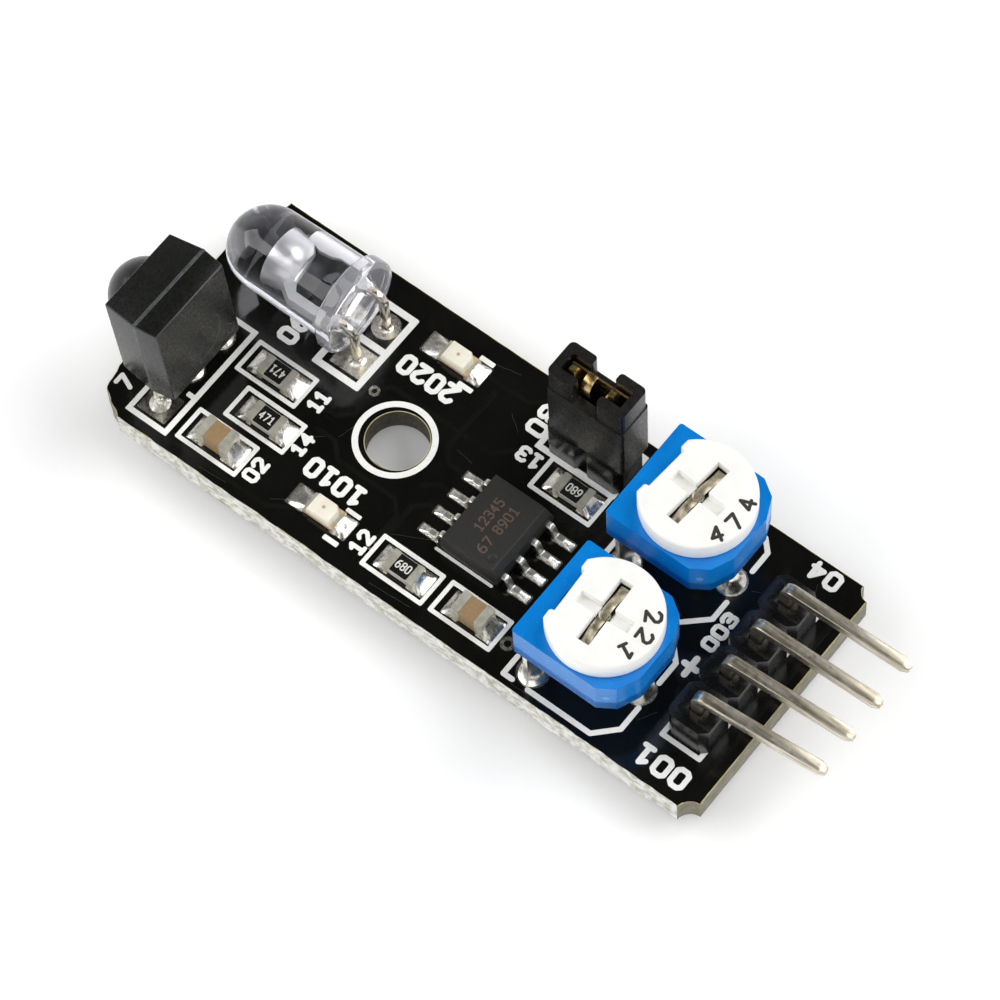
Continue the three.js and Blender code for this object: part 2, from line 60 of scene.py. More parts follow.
# ------------------------------------------------------------------ mesh building
class Geo:
    def __init__(self):
        self.v, self.f, self.m = [], [], []

    def add(self, verts, faces, mat=0, M=None):
        o = len(self.v)
        for p in verts:
            p = Vector(p)
            self.v.append(M @ p if M is not None else p)
        for q in faces:
            self.f.append([i + o for i in q])
            self.m.append(mat)
        return self

    def box(self, x0, x1, y0, y1, z0, z1, mat=0, M=None):
        v = [(x, y, z) for x in (x0, x1) for y in (y0, y1) for z in (z0, z1)]
        f = [(0, 1, 3, 2), (4, 6, 7, 5), (0, 4, 5, 1), (2, 3, 7, 6), (0, 2, 6, 4), (1, 5, 7, 3)]
        return self.add(v, f, mat, M)

    def prism(self, outline, z0, z1, holes=(), mat=0, side=None, M=None):
        """Outline in x, y (anticlockwise) raised from z0 to z1; holes clockwise or not, both work."""
        side = mat if side is None else side
        loops = [list(outline)] + [list(h) for h in holes]
        flat = [p for lp in loops for p in lp]
        n = len(flat)
        v = [(x, y, z0) for x, y in flat] + [(x, y, z1) for x, y in flat]
        base = len(self.v)
        self.add(v, [], mat, M)
        if holes:
            tris = tessellate_polygon([[Vector((x, y, 0)) for x, y in lp] for lp in loops])
            for t in tris:
                a, b, c = (Vector((*flat[i], 0)) for i in t)
                t = list(t) if (b - a).cross(c - a).z > 0 else list(t)[::-1]
                self.f.append([base + n + i for i in t]); self.m.append(mat)
                self.f.append([base + i for i in t[::-1]]); self.m.append(mat)
        else:
            idx = list(range(n))
            self.f.append([base + n + i for i in idx]); self.m.append(mat)
            self.f.append([base + i for i in idx[::-1]]); self.m.append(mat)
        s = 0
        for k, lp in enumerate(loops):
            area = sum(lp[i][0] * lp[(i + 1) % len(lp)][1] - lp[(i + 1) % len(lp)][0] * lp[i][1] for i in range(len(lp)))
            flip = (area < 0) != (k > 0)
            for i in range(len(lp)):
                a, b = base + s + i, base + s + (i + 1) % len(lp)
                q = [a, b, b + n, a + n]
                self.f.append(q[::-1] if flip else q); self.m.append(side)
            s += len(lp)
        return self

    def loft(self, rings, cap0=True, cap1=True, mat=0, M=None, closed=True):
        n = len(rings[0])
        v = [p for r in rings for p in r]
        f = []
        for j in range(len(rings) - 1):
            for i in range(n if closed else n - 1):
                a, b = j * n + i, j * n + (i + 1) % n
                f.append((a, b, b + n, a + n))
        if cap0:
            f.append(tuple(range(n))[::-1])
        if cap1:
            f.append(tuple((len(rings) - 1) * n + i for i in range(n)))
        return self.add(v, f, mat, M)

    def lathe(self, profile, n=48, mat=0, M=None, cap0=True, cap1=True):
        """Profile (r, z) from bottom to top, turned about z."""
        rings = [[(r * cos(2 * pi * i / n), r * sin(2 * pi * i / n), z) for i in range(n)] for r, z in profile]
        return self.loft(rings, cap0, cap1, mat, M)

    def sweep(self, path, section, side, mat=0, M=None, scale=None):
        """Section (a, b) swept along a planar path; a runs along the constant side vector."""
        side = Vector(side).normalized()
        pts = [Vector(p) for p in path]
        rings = []
        for i, p in enumerate(pts):
            d = (pts[min(i + 1, len(pts) - 1)] - pts[max(i - 1, 0)]).normalized()
            up = side.cross(d).normalized()
            k = 1.0 if scale is None else scale[i]
            rings.append([p + side * (a * k) + up * (b * k) for a, b in section])
        return self.loft([[tuple(q) for q in r] for r in rings], mat=mat, M=M)

    def capsule(self, a, b, w, z0, z1, mat=0, M=None, seg=5):
        a, b = Vector((a[0], a[1])), Vector((b[0], b[1]))
        d = (b - a)
        t = math.atan2(d.y, d.x) if d.length > 1e-9 else 0.0
        pts = [(b.x + w / 2 * cos(t - pi / 2 + pi * i / seg), b.y + w / 2 * sin(t - pi / 2 + pi * i / seg)) for i in range(seg + 1)]
        pts += [(a.x + w / 2 * cos(t + pi / 2 + pi * i / seg), a.y + w / 2 * sin(t + pi / 2 + pi * i / seg)) for i in range(seg + 1)]
        return self.prism(pts, z0, z1, mat=mat, M=M)


def round_poly(pts, r, seg=4):
    """Rounds each corner of a closed x, y outline. r is one radius or one per corner."""
    out = []
    n = len(pts)
    for i in range(n):
        p0, p, p1 = Vector(pts[i - 1]), Vector(pts[i]), Vector(pts[(i + 1) % n])
        rr = r[i] if isinstance(r, (list, tuple)) else r
        a, b = (p0 - p), (p1 - p)
        la, lb = a.length, b.length
        a.normalize(); b.normalize()
        half = math.acos(max(-1, min(1, a.dot(b)))) / 2
        if rr <= 0 or abs(half - pi / 2) < 1e-3:
            out.append(tuple(p)); continue
        t = min(rr / math.tan(half), la * 0.48, lb * 0.48)
        rr = t * math.tan(half)
        c = p + (a + b).normalized() * (rr / sin(half))
        s, e = p + a * t, p + b * t
        a0, a1 = math.atan2(s.y - c.y, s.x - c.x), math.atan2(e.y - c.y, e.x - c.x)
        d = (a1 - a0 + pi) % (2 * pi) - pi
        for k in range(seg + 1):
            q = a0 + d * k / seg
            out.append((c.x + rr * cos(q), c.y + rr * sin(q)))
    return out


def rrect(w, h, r, seg=3, cx=0.0, cy=0.0):
    return round_poly([(cx - w / 2, cy - h / 2), (cx + w / 2, cy - h / 2), (cx + w / 2, cy + h / 2), (cx - w / 2, cy + h / 2)], r, seg)


def circle(x, y, r, n=48, phase=0.0):
    return [(x + r * cos(2 * pi * i / n + phase), y + r * sin(2 * pi * i / n + phase)) for i in range(n)]


def arc(x, y, r, a0, a1, n):
    return [(x + r * cos(rad(a0 + (a1 - a0) * i / n)), y + r * sin(rad(a0 + (a1 - a0) * i / n))) for i in range(n + 1)]


def bevel(bm, width, seg=2, angle=25, where=None):
    edges = [e for e in bm.edges if len(e.link_faces) == 2 and e.calc_face_angle(0.0) > rad(angle) and (where is None or where(e))]
    if edges:
        bmesh.ops.bevel(bm, geom=edges, offset=width, segments=seg, profile=0.5, affect="EDGES", clamp_overlap=True)


def piece(name, geo, mats, body="board", replaces=(), M=None, bev=None, merge=None, sharp=35, after=None):
    bm = bmesh.new()
    vs = [bm.verts.new(p) for p in geo.v]
    bm.verts.index_update()
    for q, m in zip(geo.f, geo.m):
        try:
            f = bm.faces.new([vs[i] for i in q])
            f.material_index = m
        except ValueError:
            pass
    if merge is not None:
        bmesh.ops.remove_doubles(bm, verts=bm.verts, dist=merge)
        bmesh.ops.recalc_face_normals(bm, faces=bm.faces)
    if bev:
        for b in (bev if isinstance(bev, list) else [bev]):
            bevel(bm, *b)
    if after:
        after(bm)
    me = bpy.data.meshes.new(name)
    bm.to_mesh(me)
    bm.free()
    me.transform(LAY @ M if M is not None else LAY)
    me.shade_smooth()
    me.set_sharp_from_angle(angle=rad(sharp))
    for m in mats if isinstance(mats, (list, tuple)) else [mats]:
        me.materials.append(m)
    ob = bpy.data.objects.new(name, me)
    scene.collection.objects.link(ob)
    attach(ob, body)
    if replaces:
        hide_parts(*replaces)
    return ob


# ------------------------------------------------------------------ materials
def lin(r, g, b):
    return tuple(((c / 255) / 12.92 if c / 255 <= 0.04045 else ((c / 255 + 0.055) / 1.055) ** 2.4) for c in (r, g, b))


class Mat:
    """A Principled material with its own noise in colour, roughness and bump. Scales are in features per mm."""

    def __init__(self, name, base, alt=None, mix=(0.35, 0.65), cscale=2.0, rough=(0.3, 0.45), rscale=6.0, bump=0.02, bscale=20.0,
                 metallic=0.0, stretch=(1, 1, 1), detail=6.0, **sockets):
        self.m = bpy.data.materials.new(name)
        self.m.use_nodes = True
        self.t = self.m.node_tree
        self.bsdf = self.t.nodes["Principled BSDF"]
        N = self.t.nodes
        co = N.new("ShaderNodeTexCoord")
        mp = N.new("ShaderNodeMapping")
        mp.inputs["Scale"].default_value = [1000 * s for s in stretch]
        self.t.links.new(co.outputs["Object"], mp.inputs["Vector"])
        self.co = mp.outputs["Vector"]
        self.base = self.ramp(self.noise(cscale, detail), [(mix[0], base), (mix[1], alt or tuple(c * 0.8 for c in base))])
        self.link(self.base, "Base Color")
        self.link(self.remap(self.noise(rscale, 4.0, seed=3.3), 0.3, 0.7, *rough), "Roughness")
        self.height = self.noise(bscale, 3.0, seed=7.7)
        self.bumps = []
        self.add_bump(self.height, bump / bscale)
        self.bsdf.inputs["Metallic"].default_value = metallic
        for k, v in sockets.items():
            self.bsdf.inputs[k.replace("_", " ")].default_value = v

    def link(self, out, socket):
        self.t.links.new(out, self.bsdf.inputs[socket])

    def noise(self, scale, detail=4.0, seed=0.0, rough=0.55, co=None, dist=0.0):
        n = self.t.nodes.new("ShaderNodeTexNoise")
        n.noise_dimensions = "4D"
        n.inputs["W"].default_value = seed
        n.inputs["Scale"].default_value = scale
        n.inputs["Detail"].default_value = detail
        n.inputs["Roughness"].default_value = rough
        n.inputs["Distortion"].default_value = dist
        self.t.links.new(co or self.co, n.inputs["Vector"])
        return n.outputs["Fac"]

    def stretched(self, s):
        mp = self.t.nodes.new("ShaderNodeMapping")
        mp.inputs["Scale"].default_value = s
        self.t.links.new(self.co, mp.inputs["Vector"])
        return mp.outputs["Vector"]

    def turned(self, deg, s):
        mp = self.t.nodes.new("ShaderNodeMapping")
        mp.inputs["Rotation"].default_value = (0, 0, rad(deg))
        self.t.links.new(self.co, mp.inputs["Vector"])
        mq = self.t.nodes.new("ShaderNodeMapping")
        mq.inputs["Scale"].default_value = s
        self.t.links.new(mp.outputs["Vector"], mq.inputs["Vector"])
        return mq.outputs["Vector"]

    def ramp(self, fac, stops, interp="LINEAR"):
        r = self.t.nodes.new("ShaderNodeValToRGB")
        r.color_ramp.interpolation = interp
        el = r.color_ramp.elements
        while len(el) < len(stops):
            el.new(0.5)
        for e, (p, c) in zip(el, stops):
            e.position = p
            e.color = (*c[:3], 1.0)
        self.t.links.new(fac, r.inputs["Fac"])
        return r.outputs["Color"]

    def remap(self, v, a, b, c, d):
        r = self.t.nodes.new("ShaderNodeMapRange")
        for k, x in zip(("From Min", "From Max", "To Min", "To Max"), (a, b, c, d)):
            r.inputs[k].default_value = x
        self.t.links.new(v, r.inputs["Value"])
        return r.outputs["Result"]

    def math(self, op, a, b=None):
        m = self.t.nodes.new("ShaderNodeMath")
        m.operation = op
        for i, x in enumerate((a, b)):
            if x is None:
                continue
            if isinstance(x, (int, float)):
                m.inputs[i].default_value = x
            else:
                self.t.links.new(x, m.inputs[i])
        return m.outputs["Value"]

    def mix(self, fac, a, b):
        m = self.t.nodes.new("ShaderNodeMix")
        m.data_type = "RGBA"
        self.t.links.new(fac, m.inputs["Factor"])
        for i, x in ((6, a), (7, b)):
            if isinstance(x, tuple):
                m.inputs[i].default_value = (*x[:3], 1)
            else:
                self.t.links.new(x, m.inputs[i])
        return m.outputs[2]

    def add_bump(self, height, dist_mm, strength=1.0):
        b = self.t.nodes.new("ShaderNodeBump")
        b.inputs["Strength"].default_value = strength
        b.inputs["Distance"].default_value = dist_mm * 0.001
        self.t.links.new(height, b.inputs["Height"])
        if self.bumps:
            self.t.links.new(self.bumps[-1], b.inputs["Normal"])
        self.bumps.append(b.outputs["Normal"])
        self.link(b.outputs["Normal"], "Normal")


def black_mask():
    m = Mat("solder_mask_black", lin(11, 11, 9), lin(17, 17, 14), cscale=0.35, rough=(0.10, 0.17), rscale=2.0, bump=0.012, bscale=1.6, IOR=1.5)
    # hair scratches that catch the light
    for k, (deg, s) in enumerate(((28, (0.10, 5.0, 1)), (-42, (0.08, 6.5, 1)), (3, (0.07, 6.0, 1)))):
        n = m.noise(1.0, 2.0, seed=k * 5.1 + 1, co=m.turned(deg, s))
        m.add_bump(m.remap(n, 0.66, 0.72, 0.0, 1.0), 0.0012)
    return m.m


def laminate(name, a, b, white, amount):
    m = Mat(name, a, b, cscale=1.6, rough=(0.45, 0.7), bump=0.25, bscale=9.0)
    fibres = m.noise(1.0, 5.0, seed=2.0, co=m.stretched((2.2, 2.2, 4.0)))
    pale = m.remap(fibres, 0.62 - amount, 0.72 - amount * 0.6, 0.0, 1.0)
    chips = m.remap(m.noise(3.2, 6.0, seed=9.0, dist=0.8), 0.50, 0.62, 0.0, 1.0)
    both = m.math("MAXIMUM", m.math("MULTIPLY", pale, 0.8), m.math("MULTIPLY", chips, amount))
    m.link(m.mix(both, m.base, white), "Base Color")
    m.add_bump(fibres, 0.02)
    return m.m


def silk():
    m = Mat("silkscreen_white", lin(255, 255, 251), lin(242, 242, 235), mix=(0.4, 0.8), cscale=5.0, rough=(0.42, 0.6), bump=0.12, bscale=14.0)
    return m.m


def tin(name, a, b, rough, bump=0.03, bscale=7.0, **kw):
    return Mat(name, lin(*a), lin(*b), cscale=3.0, rough=rough, rscale=5.0, bump=bump, bscale=bscale, metallic=1.0, **kw)


def pin_metal():
    m = tin("pin_tin", (222, 214, 196), (186, 178, 160), (0.27, 0.40), bump=0.015)
    grain = m.noise(1.0, 3.0, seed=4.0, co=m.stretched((0.35, 9.0, 9.0)))
    m.add_bump(grain, 0.003)
    m.base = m.ramp(m.noise(1.0, 3.0, seed=11.0, co=m.stretched((0.3, 5.0, 5.0))), [(0.35, lin(160, 150, 132)), (0.52, lin(204, 196, 178)), (0.68, lin(240, 234, 220))])
    m.link(m.base, "Base Color")
    spots = m.remap(m.noise(2.6, 5.0, seed=8.0, dist=0.5), 0.60, 0.74, 0.0, 0.3)
    m.link(m.mix(spots, m.base, lin(140, 134, 122)), "Base Color")
    return m.m


def moulded(name, a, b, rough=(0.38, 0.5), bump=0.05, bscale=26.0, cscale=1.2, **kw):
    return Mat(name, lin(*a), lin(*b), cscale=cscale, rough=rough, bump=bump, bscale=bscale, **kw).m


def receiver_black():
    m = Mat("receiver_epoxy", lin(12, 12, 11), lin(20, 20, 18), cscale=0.9, rough=(0.22, 0.34), bump=0.02, bscale=30.0, IOR=1.55)
    dust = m.remap(m.noise(16.0, 3.0, seed=6.0), 0.70, 0.76, 0.0, 1.0)
    m.link(m.mix(dust, m.base, lin(80, 80, 76)), "Base Color")
    s = m.noise(1.0, 2.0, seed=12.0, co=m.stretched((7.0, 0.5, 1.2)))
    m.add_bump(m.remap(s, 0.64, 0.72, 0.0, 1.0), 0.002)
    return m.m


def clear_epoxy(name="clear_epoxy", rough=(0.0, 0.02), weight=0.997):
    m = Mat(name, (0.95, 0.95, 1.0), (0.90, 0.91, 1.0), mix=(0.3, 0.8), cscale=0.5, rough=rough, bump=0.006, bscale=1.1,
            Transmission_Weight=weight, IOR=1.53)
    return m.m


def chip_epoxy():
    m = Mat("chip_epoxy", lin(26, 25, 22), lin(39, 38, 33), cscale=7.0, mix=(0.3, 0.8), rough=(0.46, 0.6), bump=0.3, bscale=34.0)
    return m.m


def blue_plastic():
    m = Mat("trimmer_blue", lin(0, 122, 208), lin(0, 132, 218), cscale=0.7, rough=(0.2, 0.28), bump=0.012, bscale=9.0, IOR=1.5,
            Subsurface_Weight=0.12, Subsurface_Scale=0.0006)
    m.bsdf.inputs["Subsurface Radius"].default_value = (0.2, 0.5, 1.0)
    rub = m.noise(1.0, 3.0, seed=5.0, co=m.stretched((2.5, 9.0, 2.0)))
    m.add_bump(m.remap(rub, 0.6, 0.7, 0.0, 1.0), 0.0012)
    return m.m


def white_plastic():
    m = Mat("trimmer_white", lin(254, 254, 251), lin(249, 248, 243), cscale=0.8, rough=(0.32, 0.44), bump=0.05, bscale=12.0,
            Subsurface_Weight=0.2, Subsurface_Scale=0.0006)
    m.bsdf.inputs["Subsurface Radius"].default_value = (1.0, 0.9, 0.75)
    return m.m


def ink(name, a, b, **kw):
    return Mat(name, lin(*a), lin(*b), cscale=6.0, mix=(0.3, 0.75), rough=(0.4, 0.6), bump=0.1, bscale=18.0, **kw).m


def capacitor_body():
    m = Mat("capacitor_ceramic", lin(160, 134, 98), lin(150, 122, 86), cscale=5.0, rough=(0.34, 0.5), bump=0.1, bscale=12.0)
    return m.m


MASK = black_mask()
LAM_EDGE = laminate("laminate_broken_edge", lin(196, 195, 182), lin(170, 168, 152), lin(246, 246, 243), 0.22)
LAM = laminate("laminate_routed", lin(134, 131, 112), lin(112, 108, 88), lin(176, 176, 164), 0.0)
LAM_LINE = laminate("laminate_cream", lin(214, 204, 156), lin(184, 172, 118), lin(232, 230, 214), 0.0)
# darker laminate for the walls of the holes: painted shade
LAM_HOLE_SHADED = laminate("laminate_drilled_shaded", lin(74, 68, 48), lin(54, 49, 34), lin(120, 114, 92), 0.0)
MASK_TRACK = moulded("solder_mask_over_copper", (16, 16, 13), (22, 22, 19), rough=(0.12, 0.2), cscale=0.6, bump=0.02, bscale=2.0)
SCRATCH = moulded("solder_mask_scratch", (66, 66, 62), (40, 40, 37), rough=(0.3, 0.5), cscale=4.0)
SILK = silk()
SOLDER = tin("solder_bright", (240, 238, 230), (212, 209, 200), (0.2, 0.34), bump=0.04, bscale=4.0).m
PAD = tin("pad_tinned", (220, 216, 204), (190, 186, 172), (0.2, 0.34), bump=0.08, bscale=6.0).m
TERMINAL = tin("chip_terminal_tin", (226, 224, 208), (204, 200, 184), (0.36, 0.5), bump=0.04, bscale=9.0).m
TERMINAL.node_tree.nodes["Principled BSDF"].inputs["Metallic"].default_value = 0.8
LEADTIN = tin("lead_tin", (244, 242, 234), (230, 227, 218), (0.28, 0.36), bump=0.008, bscale=5.0).m
LEGTIN = tin("emitter_leg_tin", (204, 196, 184), (188, 180, 168), (0.14, 0.2), bump=0.002, bscale=2.0).m
FRAME = tin("silvered_frame", (254, 254, 253), (250, 250, 248), (0.29, 0.33), bump=0.003, bscale=4.0).m
FB = FRAME.node_tree.nodes["Principled BSDF"]
FB.inputs["Metallic"].default_value = 0.6
PIN = pin_metal()
BRASS = tin("contact_brass", (214, 186, 128), (184, 152, 96), (0.2, 0.34), bump=0.05, bscale=8.0).m
WIPER = tin("wiper_strip", (220, 212, 190), (176, 164, 138), (0.3, 0.42), bump=0.02, bscale=5.0).m
# near-black fill for the rotor's deep well and the eyelet's bore: painted shade
HOLLOW_SHADE = moulded("hole_painted_shade", (14, 13, 12), (24, 22, 20), rough=(0.5, 0.7))
RECV = receiver_black()
# lighter grey for the receiver's parting ridge and ejector rings: painted highlight
RIDGE_HIGHLIGHT = moulded("receiver_parting_highlight", (84, 88, 88), (50, 53, 53), rough=(0.3, 0.45), cscale=3.0)
NYLON = moulded("header_nylon", (8, 8, 9), (14, 14, 15), rough=(0.2, 0.3), bump=0.03, bscale=8.0)
SHUNT = moulded("shunt_plastic", (16, 15, 14), (27, 26, 24), rough=(0.24, 0.36), bump=0.14, bscale=11.0, cscale=2.0)
EPOXY = clear_epoxy()
EPOXY_BACK = clear_epoxy("clear_epoxy_flange", (0.02, 0.08), 0.76)
CHIP = chip_epoxy()
CHIPINK = ink("chip_marking", (104, 84, 66), (76, 64, 54))
BLUE = blue_plastic()
DOT = moulded("gate_mark_blue", (108, 176, 230), (84, 160, 222), rough=(0.4, 0.6))
WHITE = white_plastic()
BLACKINK = ink("rotor_ink", (42, 37, 31), (60, 54, 46))
TRACK = moulded("carbon_track", (40, 36, 33), (54, 50, 46), rough=(0.5, 0.7), bump=0.2)
RESTOP = moulded("resistor_glaze", (20, 20, 19), (28, 28, 26), rough=(0.2, 0.32), bump=0.06, bscale=10.0)
RESINK = ink("resistor_digits", (238, 238, 230), (214, 214, 205))
CERAMIC = moulded("alumina", (206, 204, 196), (188, 186, 176), rough=(0.5, 0.65), bump=0.15)
CAPBODY = capacitor_body()
LEDBASE = moulded("indicator_laminate", (226, 196, 156), (206, 172, 128), rough=(0.4, 0.55), cscale=4.0)
LEDLENS = Mat("indicator_resin", lin(250, 246, 232), lin(243, 236, 214), cscale=2.2, rough=(0.3, 0.42), bump=0.08, bscale=7.0,
              Subsurface_Weight=0.3, Subsurface_Scale=0.0005).m
LEDDOT = moulded("indicator_die", (206, 176, 156), (186, 156, 134), rough=(0.4, 0.6))
GREENDOT = moulded("indicator_polarity_mark", (120, 190, 130), (96, 170, 108), rough=(0.5, 0.7))

# ------------------------------------------------------------------ circuit board
BL, BW, BT = 40.4, 16.0, 1.6


def board_outline():
    pts = [(2.07, 0.0), (BL - 0.85, 0.0)]
    pts += arc(BL, 0, 0.85, 180, 90, 14)[1:]
    pts += arc(BL, BW, 0.65, 270, 180, 12)
    pts += arc(0, BW, 1.05, 360, 270, 16)
    pts += [(0, 2.58), (0.05, 2.42), (0.12, 2.2), (0.16, 1.95), (0.2, 1.7), (0.21, 1.52), (0.24, 1.35), (0.3, 1.18), (0.38, 1.06), (0.55, 0.95),
            (0.72, 0.86), (0.9, 0.74), (1.05, 0.58), (1.25, 0.48), (1.45, 0.4), (1.63, 0.32), (1.8, 0.2), (1.93, 0.08)]
    out = []
    for i, p in enumerate(pts):
        q = pts[(i + 1) % len(pts)]
        d = math.hypot(q[0] - p[0], q[1] - p[1])
        k = max(1, int(d / (0.09 if max(p[1], q[1]) < 0.05 else 0.16)))
        out += [(p[0] + (q[0] - p[0]) * j / k, p[1] + (q[1] - p[1]) * j / k) for j in range(k)]
    return out


def inset(outline, fn):
    """Moves each point inwards by fn(x, y, nx, ny)."""
    n = len(outline)
    out = []
    for i, (x, y) in enumerate(outline):
        ax, ay = outline[i - 1]
        bx, by = outline[(i + 1) % n]
        dx, dy = bx - ax, by - ay
        L = math.hypot(dx, dy) or 1.0
        nx, ny = -dy / L, dx / L
        d = fn(x, y, nx, ny)
        out.append((x + nx * d, y + ny * d))
    return out


OUT = board_outline()
LEGS_E = [(10.05, 11.8 - 1.27), (10.05, 11.8 + 1.27)]
LEGS_R = [(3.27, 4.66 + s * 2.54) for s in (-1, 0, 1)]
PINS_J = [(23.85 + s * 1.27, 13.6) for s in (-1, 1)]
PINS_H = [(37.72, 8.1 + (i - 1.5) * 2.54) for i in range(4)]
TRIM = [("trimmer_a", 31.81, 4.16, 3.0, 3.0), ("trimmer_b", 31.81, 12.05, 3.95, -4.5)]
LEG_OFF = [(-2.84, -2.55), (-2.84, 2.55), (2.19, 0)]
LEGS_T = [(t[1] + dx, t[2] + dy) for t in TRIM for dx, dy in LEG_OFF]
HOLE = (14.85, 8.0, 1.75)


def near(y, ny):
    return ny > 0.9 and y < 0.3


# laminate core: its wall is a grid, so that the broken near edge is uneven
core = Geo()
ROWS = 15
rings = []
for j in range(ROWS):
    t = j / (ROWS - 1)
    z = -BT + 0.015 + t * (BT - 0.035)

    def wall(x, y, nx, ny, z=z, t=t):
        if near(y, ny):
            lower = max(0.0, 1 - t * 1.4)
            rough = 0.03 * (0.5 + n3(x, z, 0, 1.1, 4)) + 0.05 * (0.5 + n3(x, z * 2.2, 0, 3.4, 8)) + 0.04 * (0.5 + n3(x, z * 1.3, 0, 6.5, 15)) + 0.09 * lower * max(0.0, n3(x, 0, 0, 0.9, 21) + 0.1)
            return max(0.0, 0.045 + 0.03 * t - 0.07 * lower + rough)
        return max(0.0, 0.012 + 0.012 * n3(x, y, z, 3.0, 2))
    rings.append([(x, y, z) for x, y in inset(OUT, wall)])
n_out = len(OUT)
base = len(core.v)
core.add([p for r in rings for p in r], [])
for j in range(ROWS - 1):
    for i in range(n_out):
        a, b = j * n_out + i, j * n_out + (i + 1) % n_out
        x, y = OUT[i]
        core.f.append([a, b, b + n_out, a + n_out])
        core.m.append(1 if (y < 0.25 and 1.9 < x < BL - 0.9) else 0)
holes = [circle(HOLE[0], HOLE[1], HOLE[2] + 0.012, 72)]
holes += [circle(x, y, 0.42, 20) for x, y in LEGS_R] + [circle(x, y, 0.46, 20) for x, y in LEGS_E]
holes += [circle(x, y, 0.5, 20) for x, y in LEGS_T] + [circle(x, y, 0.52, 20) for x, y in PINS_J + PINS_H]
for z, ring, up in ((rings[0][0][2], rings[0], False), (rings[-1][0][2], rings[-1], True)):
    loops = [[(p[0], p[1]) for p in ring]] + holes
    flat = [p for lp in loops for p in lp]
    o = len(core.v)
    core.add([(x, y, z) for x, y in flat], [])
    for t in tessellate_polygon([[Vector((x, y, 0)) for x, y in lp] for lp in loops]):
        a, b, c = (Vector((*flat[i], 0)) for i in t)
        ccw = (b - a).cross(c - a).z > 0
        t = list(t) if ccw == up else list(t)[::-1]
        core.f.append([o + i for i in t]); core.m.append(2)
z0, z1 = rings[0][0][2], rings[-1][0][2]
# hole walls take the darker laminate: painted shade
for h in holes:
    n = len(h)
    core.add([(x, y, z0) for x, y in h] + [(x, y, z1) for x, y in h], [(i, i + n, (i + 1) % n + n, (i + 1) % n) for i in range(n)], mat=3)
piece("board_laminate", core, [LAM, LAM_EDGE, LAM_LINE, LAM_HOLE_SHADED], replaces=["circuit_board"], merge=0.0005, sharp=40)

# solder mask on both faces, cut back a hair from every edge
mask_out = inset(OUT, lambda x, y, nx, ny: (0.135 + 0.06 * n3(x, 0, 0, 1.3, 5)) if near(y, ny) else (0.075 if nx < -0.9 else 0.05) + 0.02 * n3(x, y, 0, 1.5, 6))
mask = Geo()
mask_holes = [circle(HOLE[0], HOLE[1], HOLE[2] + 0.06, 72)]
mask_holes += [circle(x, y, 0.42, 20) for x, y in LEGS_R] + [circle(x, y, 0.46, 20) for x, y in LEGS_E]
mask_holes += [circle(x, y, 0.5, 20) for x, y in LEGS_T] + [circle(x, y, 0.52, 20) for x, y in PINS_J + PINS_H]
mask.prism(mask_out, -0.02, 0.0, mask_holes)
mask.prism(mask_out, -BT, -BT + 0.015, mask_holes)
piece("solder_mask", mask, MASK, sharp=30)

# copper under the mask: low raised tracks
tracks = Geo()
TOP = [
    ([(17.9, 2.75), (17.9, 5.35), (18.6, 6.03), (18.95, 6.03)], 0.3), ([(11.0, 6.0), (12.2, 6.0), (13.0, 5.2), (16.9, 5.2), (17.6, 4.5), (17.6, 2.6)], 0.26),
    ([(5.6, 8.9), (12.0, 8.9)], 0.28), ([(9.4, 7.2), (11.3, 7.2), (12.0, 7.9), (12.0, 9.6), (12.6, 10.4), (19.3, 10.4), (20.9, 12.0)], 0.26),
    ([(26.6, 4.77), (27.1, 4.3), (27.1, 2.4)], 0.26), ([(26.5, 6.03), (27.4, 6.03), (27.9, 6.5), (27.9, 8.0), (33.0, 8.0), (35.0, 6.1), (35.9, 6.1)], 0.26),
    ([(35.95, 1.6), (35.95, 14.4)], 0.3), ([(26.2, 8.57), (25.5, 9.3), (25.5, 9.95)], 0.26), ([(19.0, 8.57), (17.9, 8.57), (17.2, 9.3), (17.2, 13.4)], 0.28),
    ([(12.9, 1.5), (11.6, 0.75), (5.4, 0.75)], 0.26), ([(26.6, 7.3), (27.0, 7.7), (27.0, 11.1), (26.2, 11.1)], 0.26), ([(19.1, 7.3), (18.2, 7.3), (17.6, 6.7)], 0.26),
    ([(11.6, 14.9), (12.6, 14.0)], 0.26), ([(16.2, 14.0), (19.0, 14.0), (20.4, 15.2), (27.4, 15.2)], 0.26), ([(39.7, 2.2), (39.7, 13.8)], 0.28),
    ([(4.9, 9.3), (4.9, 15.2), (8.0, 15.2)], 0.26), ([(39.1, 6.8), (39.6, 6.3)], 0.26), ([(39.1, 9.4), (39.6, 8.9)], 0.26), ([(39.1, 4.3), (39.6, 3.8)], 0.26),
]
k = 0
for line, w in TOP:
    for a, b in zip(line, line[1:]):
        tracks.capsule(a, b, w, -0.01, 0.010 + 0.0002 * (k % 61)); k += 1
BOT = [([(3.27, 4.66), (8.0, 4.66), (10.0, 6.7), (19.0, 6.7), (22.0, 9.7), (22.58, 13.6)], 0.3), ([(3.27, 7.2), (6.0, 9.93), (10.05, 10.53)], 0.35),
       ([(10.05, 13.07), (12.5, 14.6), (24.0, 14.9), (28.9, 14.6)], 0.3), ([(37.72, 4.29), (34.0, 4.16), (29.0, 6.7)], 0.4), ([(37.72, 6.83), (34.5, 8.1), (27.0, 8.1), (25.12, 13.6)], 0.4),
       ([(37.72, 9.37), (34.0, 12.05)], 0.3), ([(37.72, 11.91), (36.0, 14.6), (29.0, 14.6)], 0.3), ([(3.27, 2.12), (5.0, 1.0), (28.0, 1.0), (28.97, 1.61)], 0.4)]
for line, w in BOT:
    for a, b in zip(line, line[1:]):
        tracks.capsule(a, b, w, -BT - 0.012 - 0.0002 * (k % 37), -BT + 0.005); k += 1
piece("copper_tracks", tracks, MASK_TRACK, sharp=30)
scr = Geo()
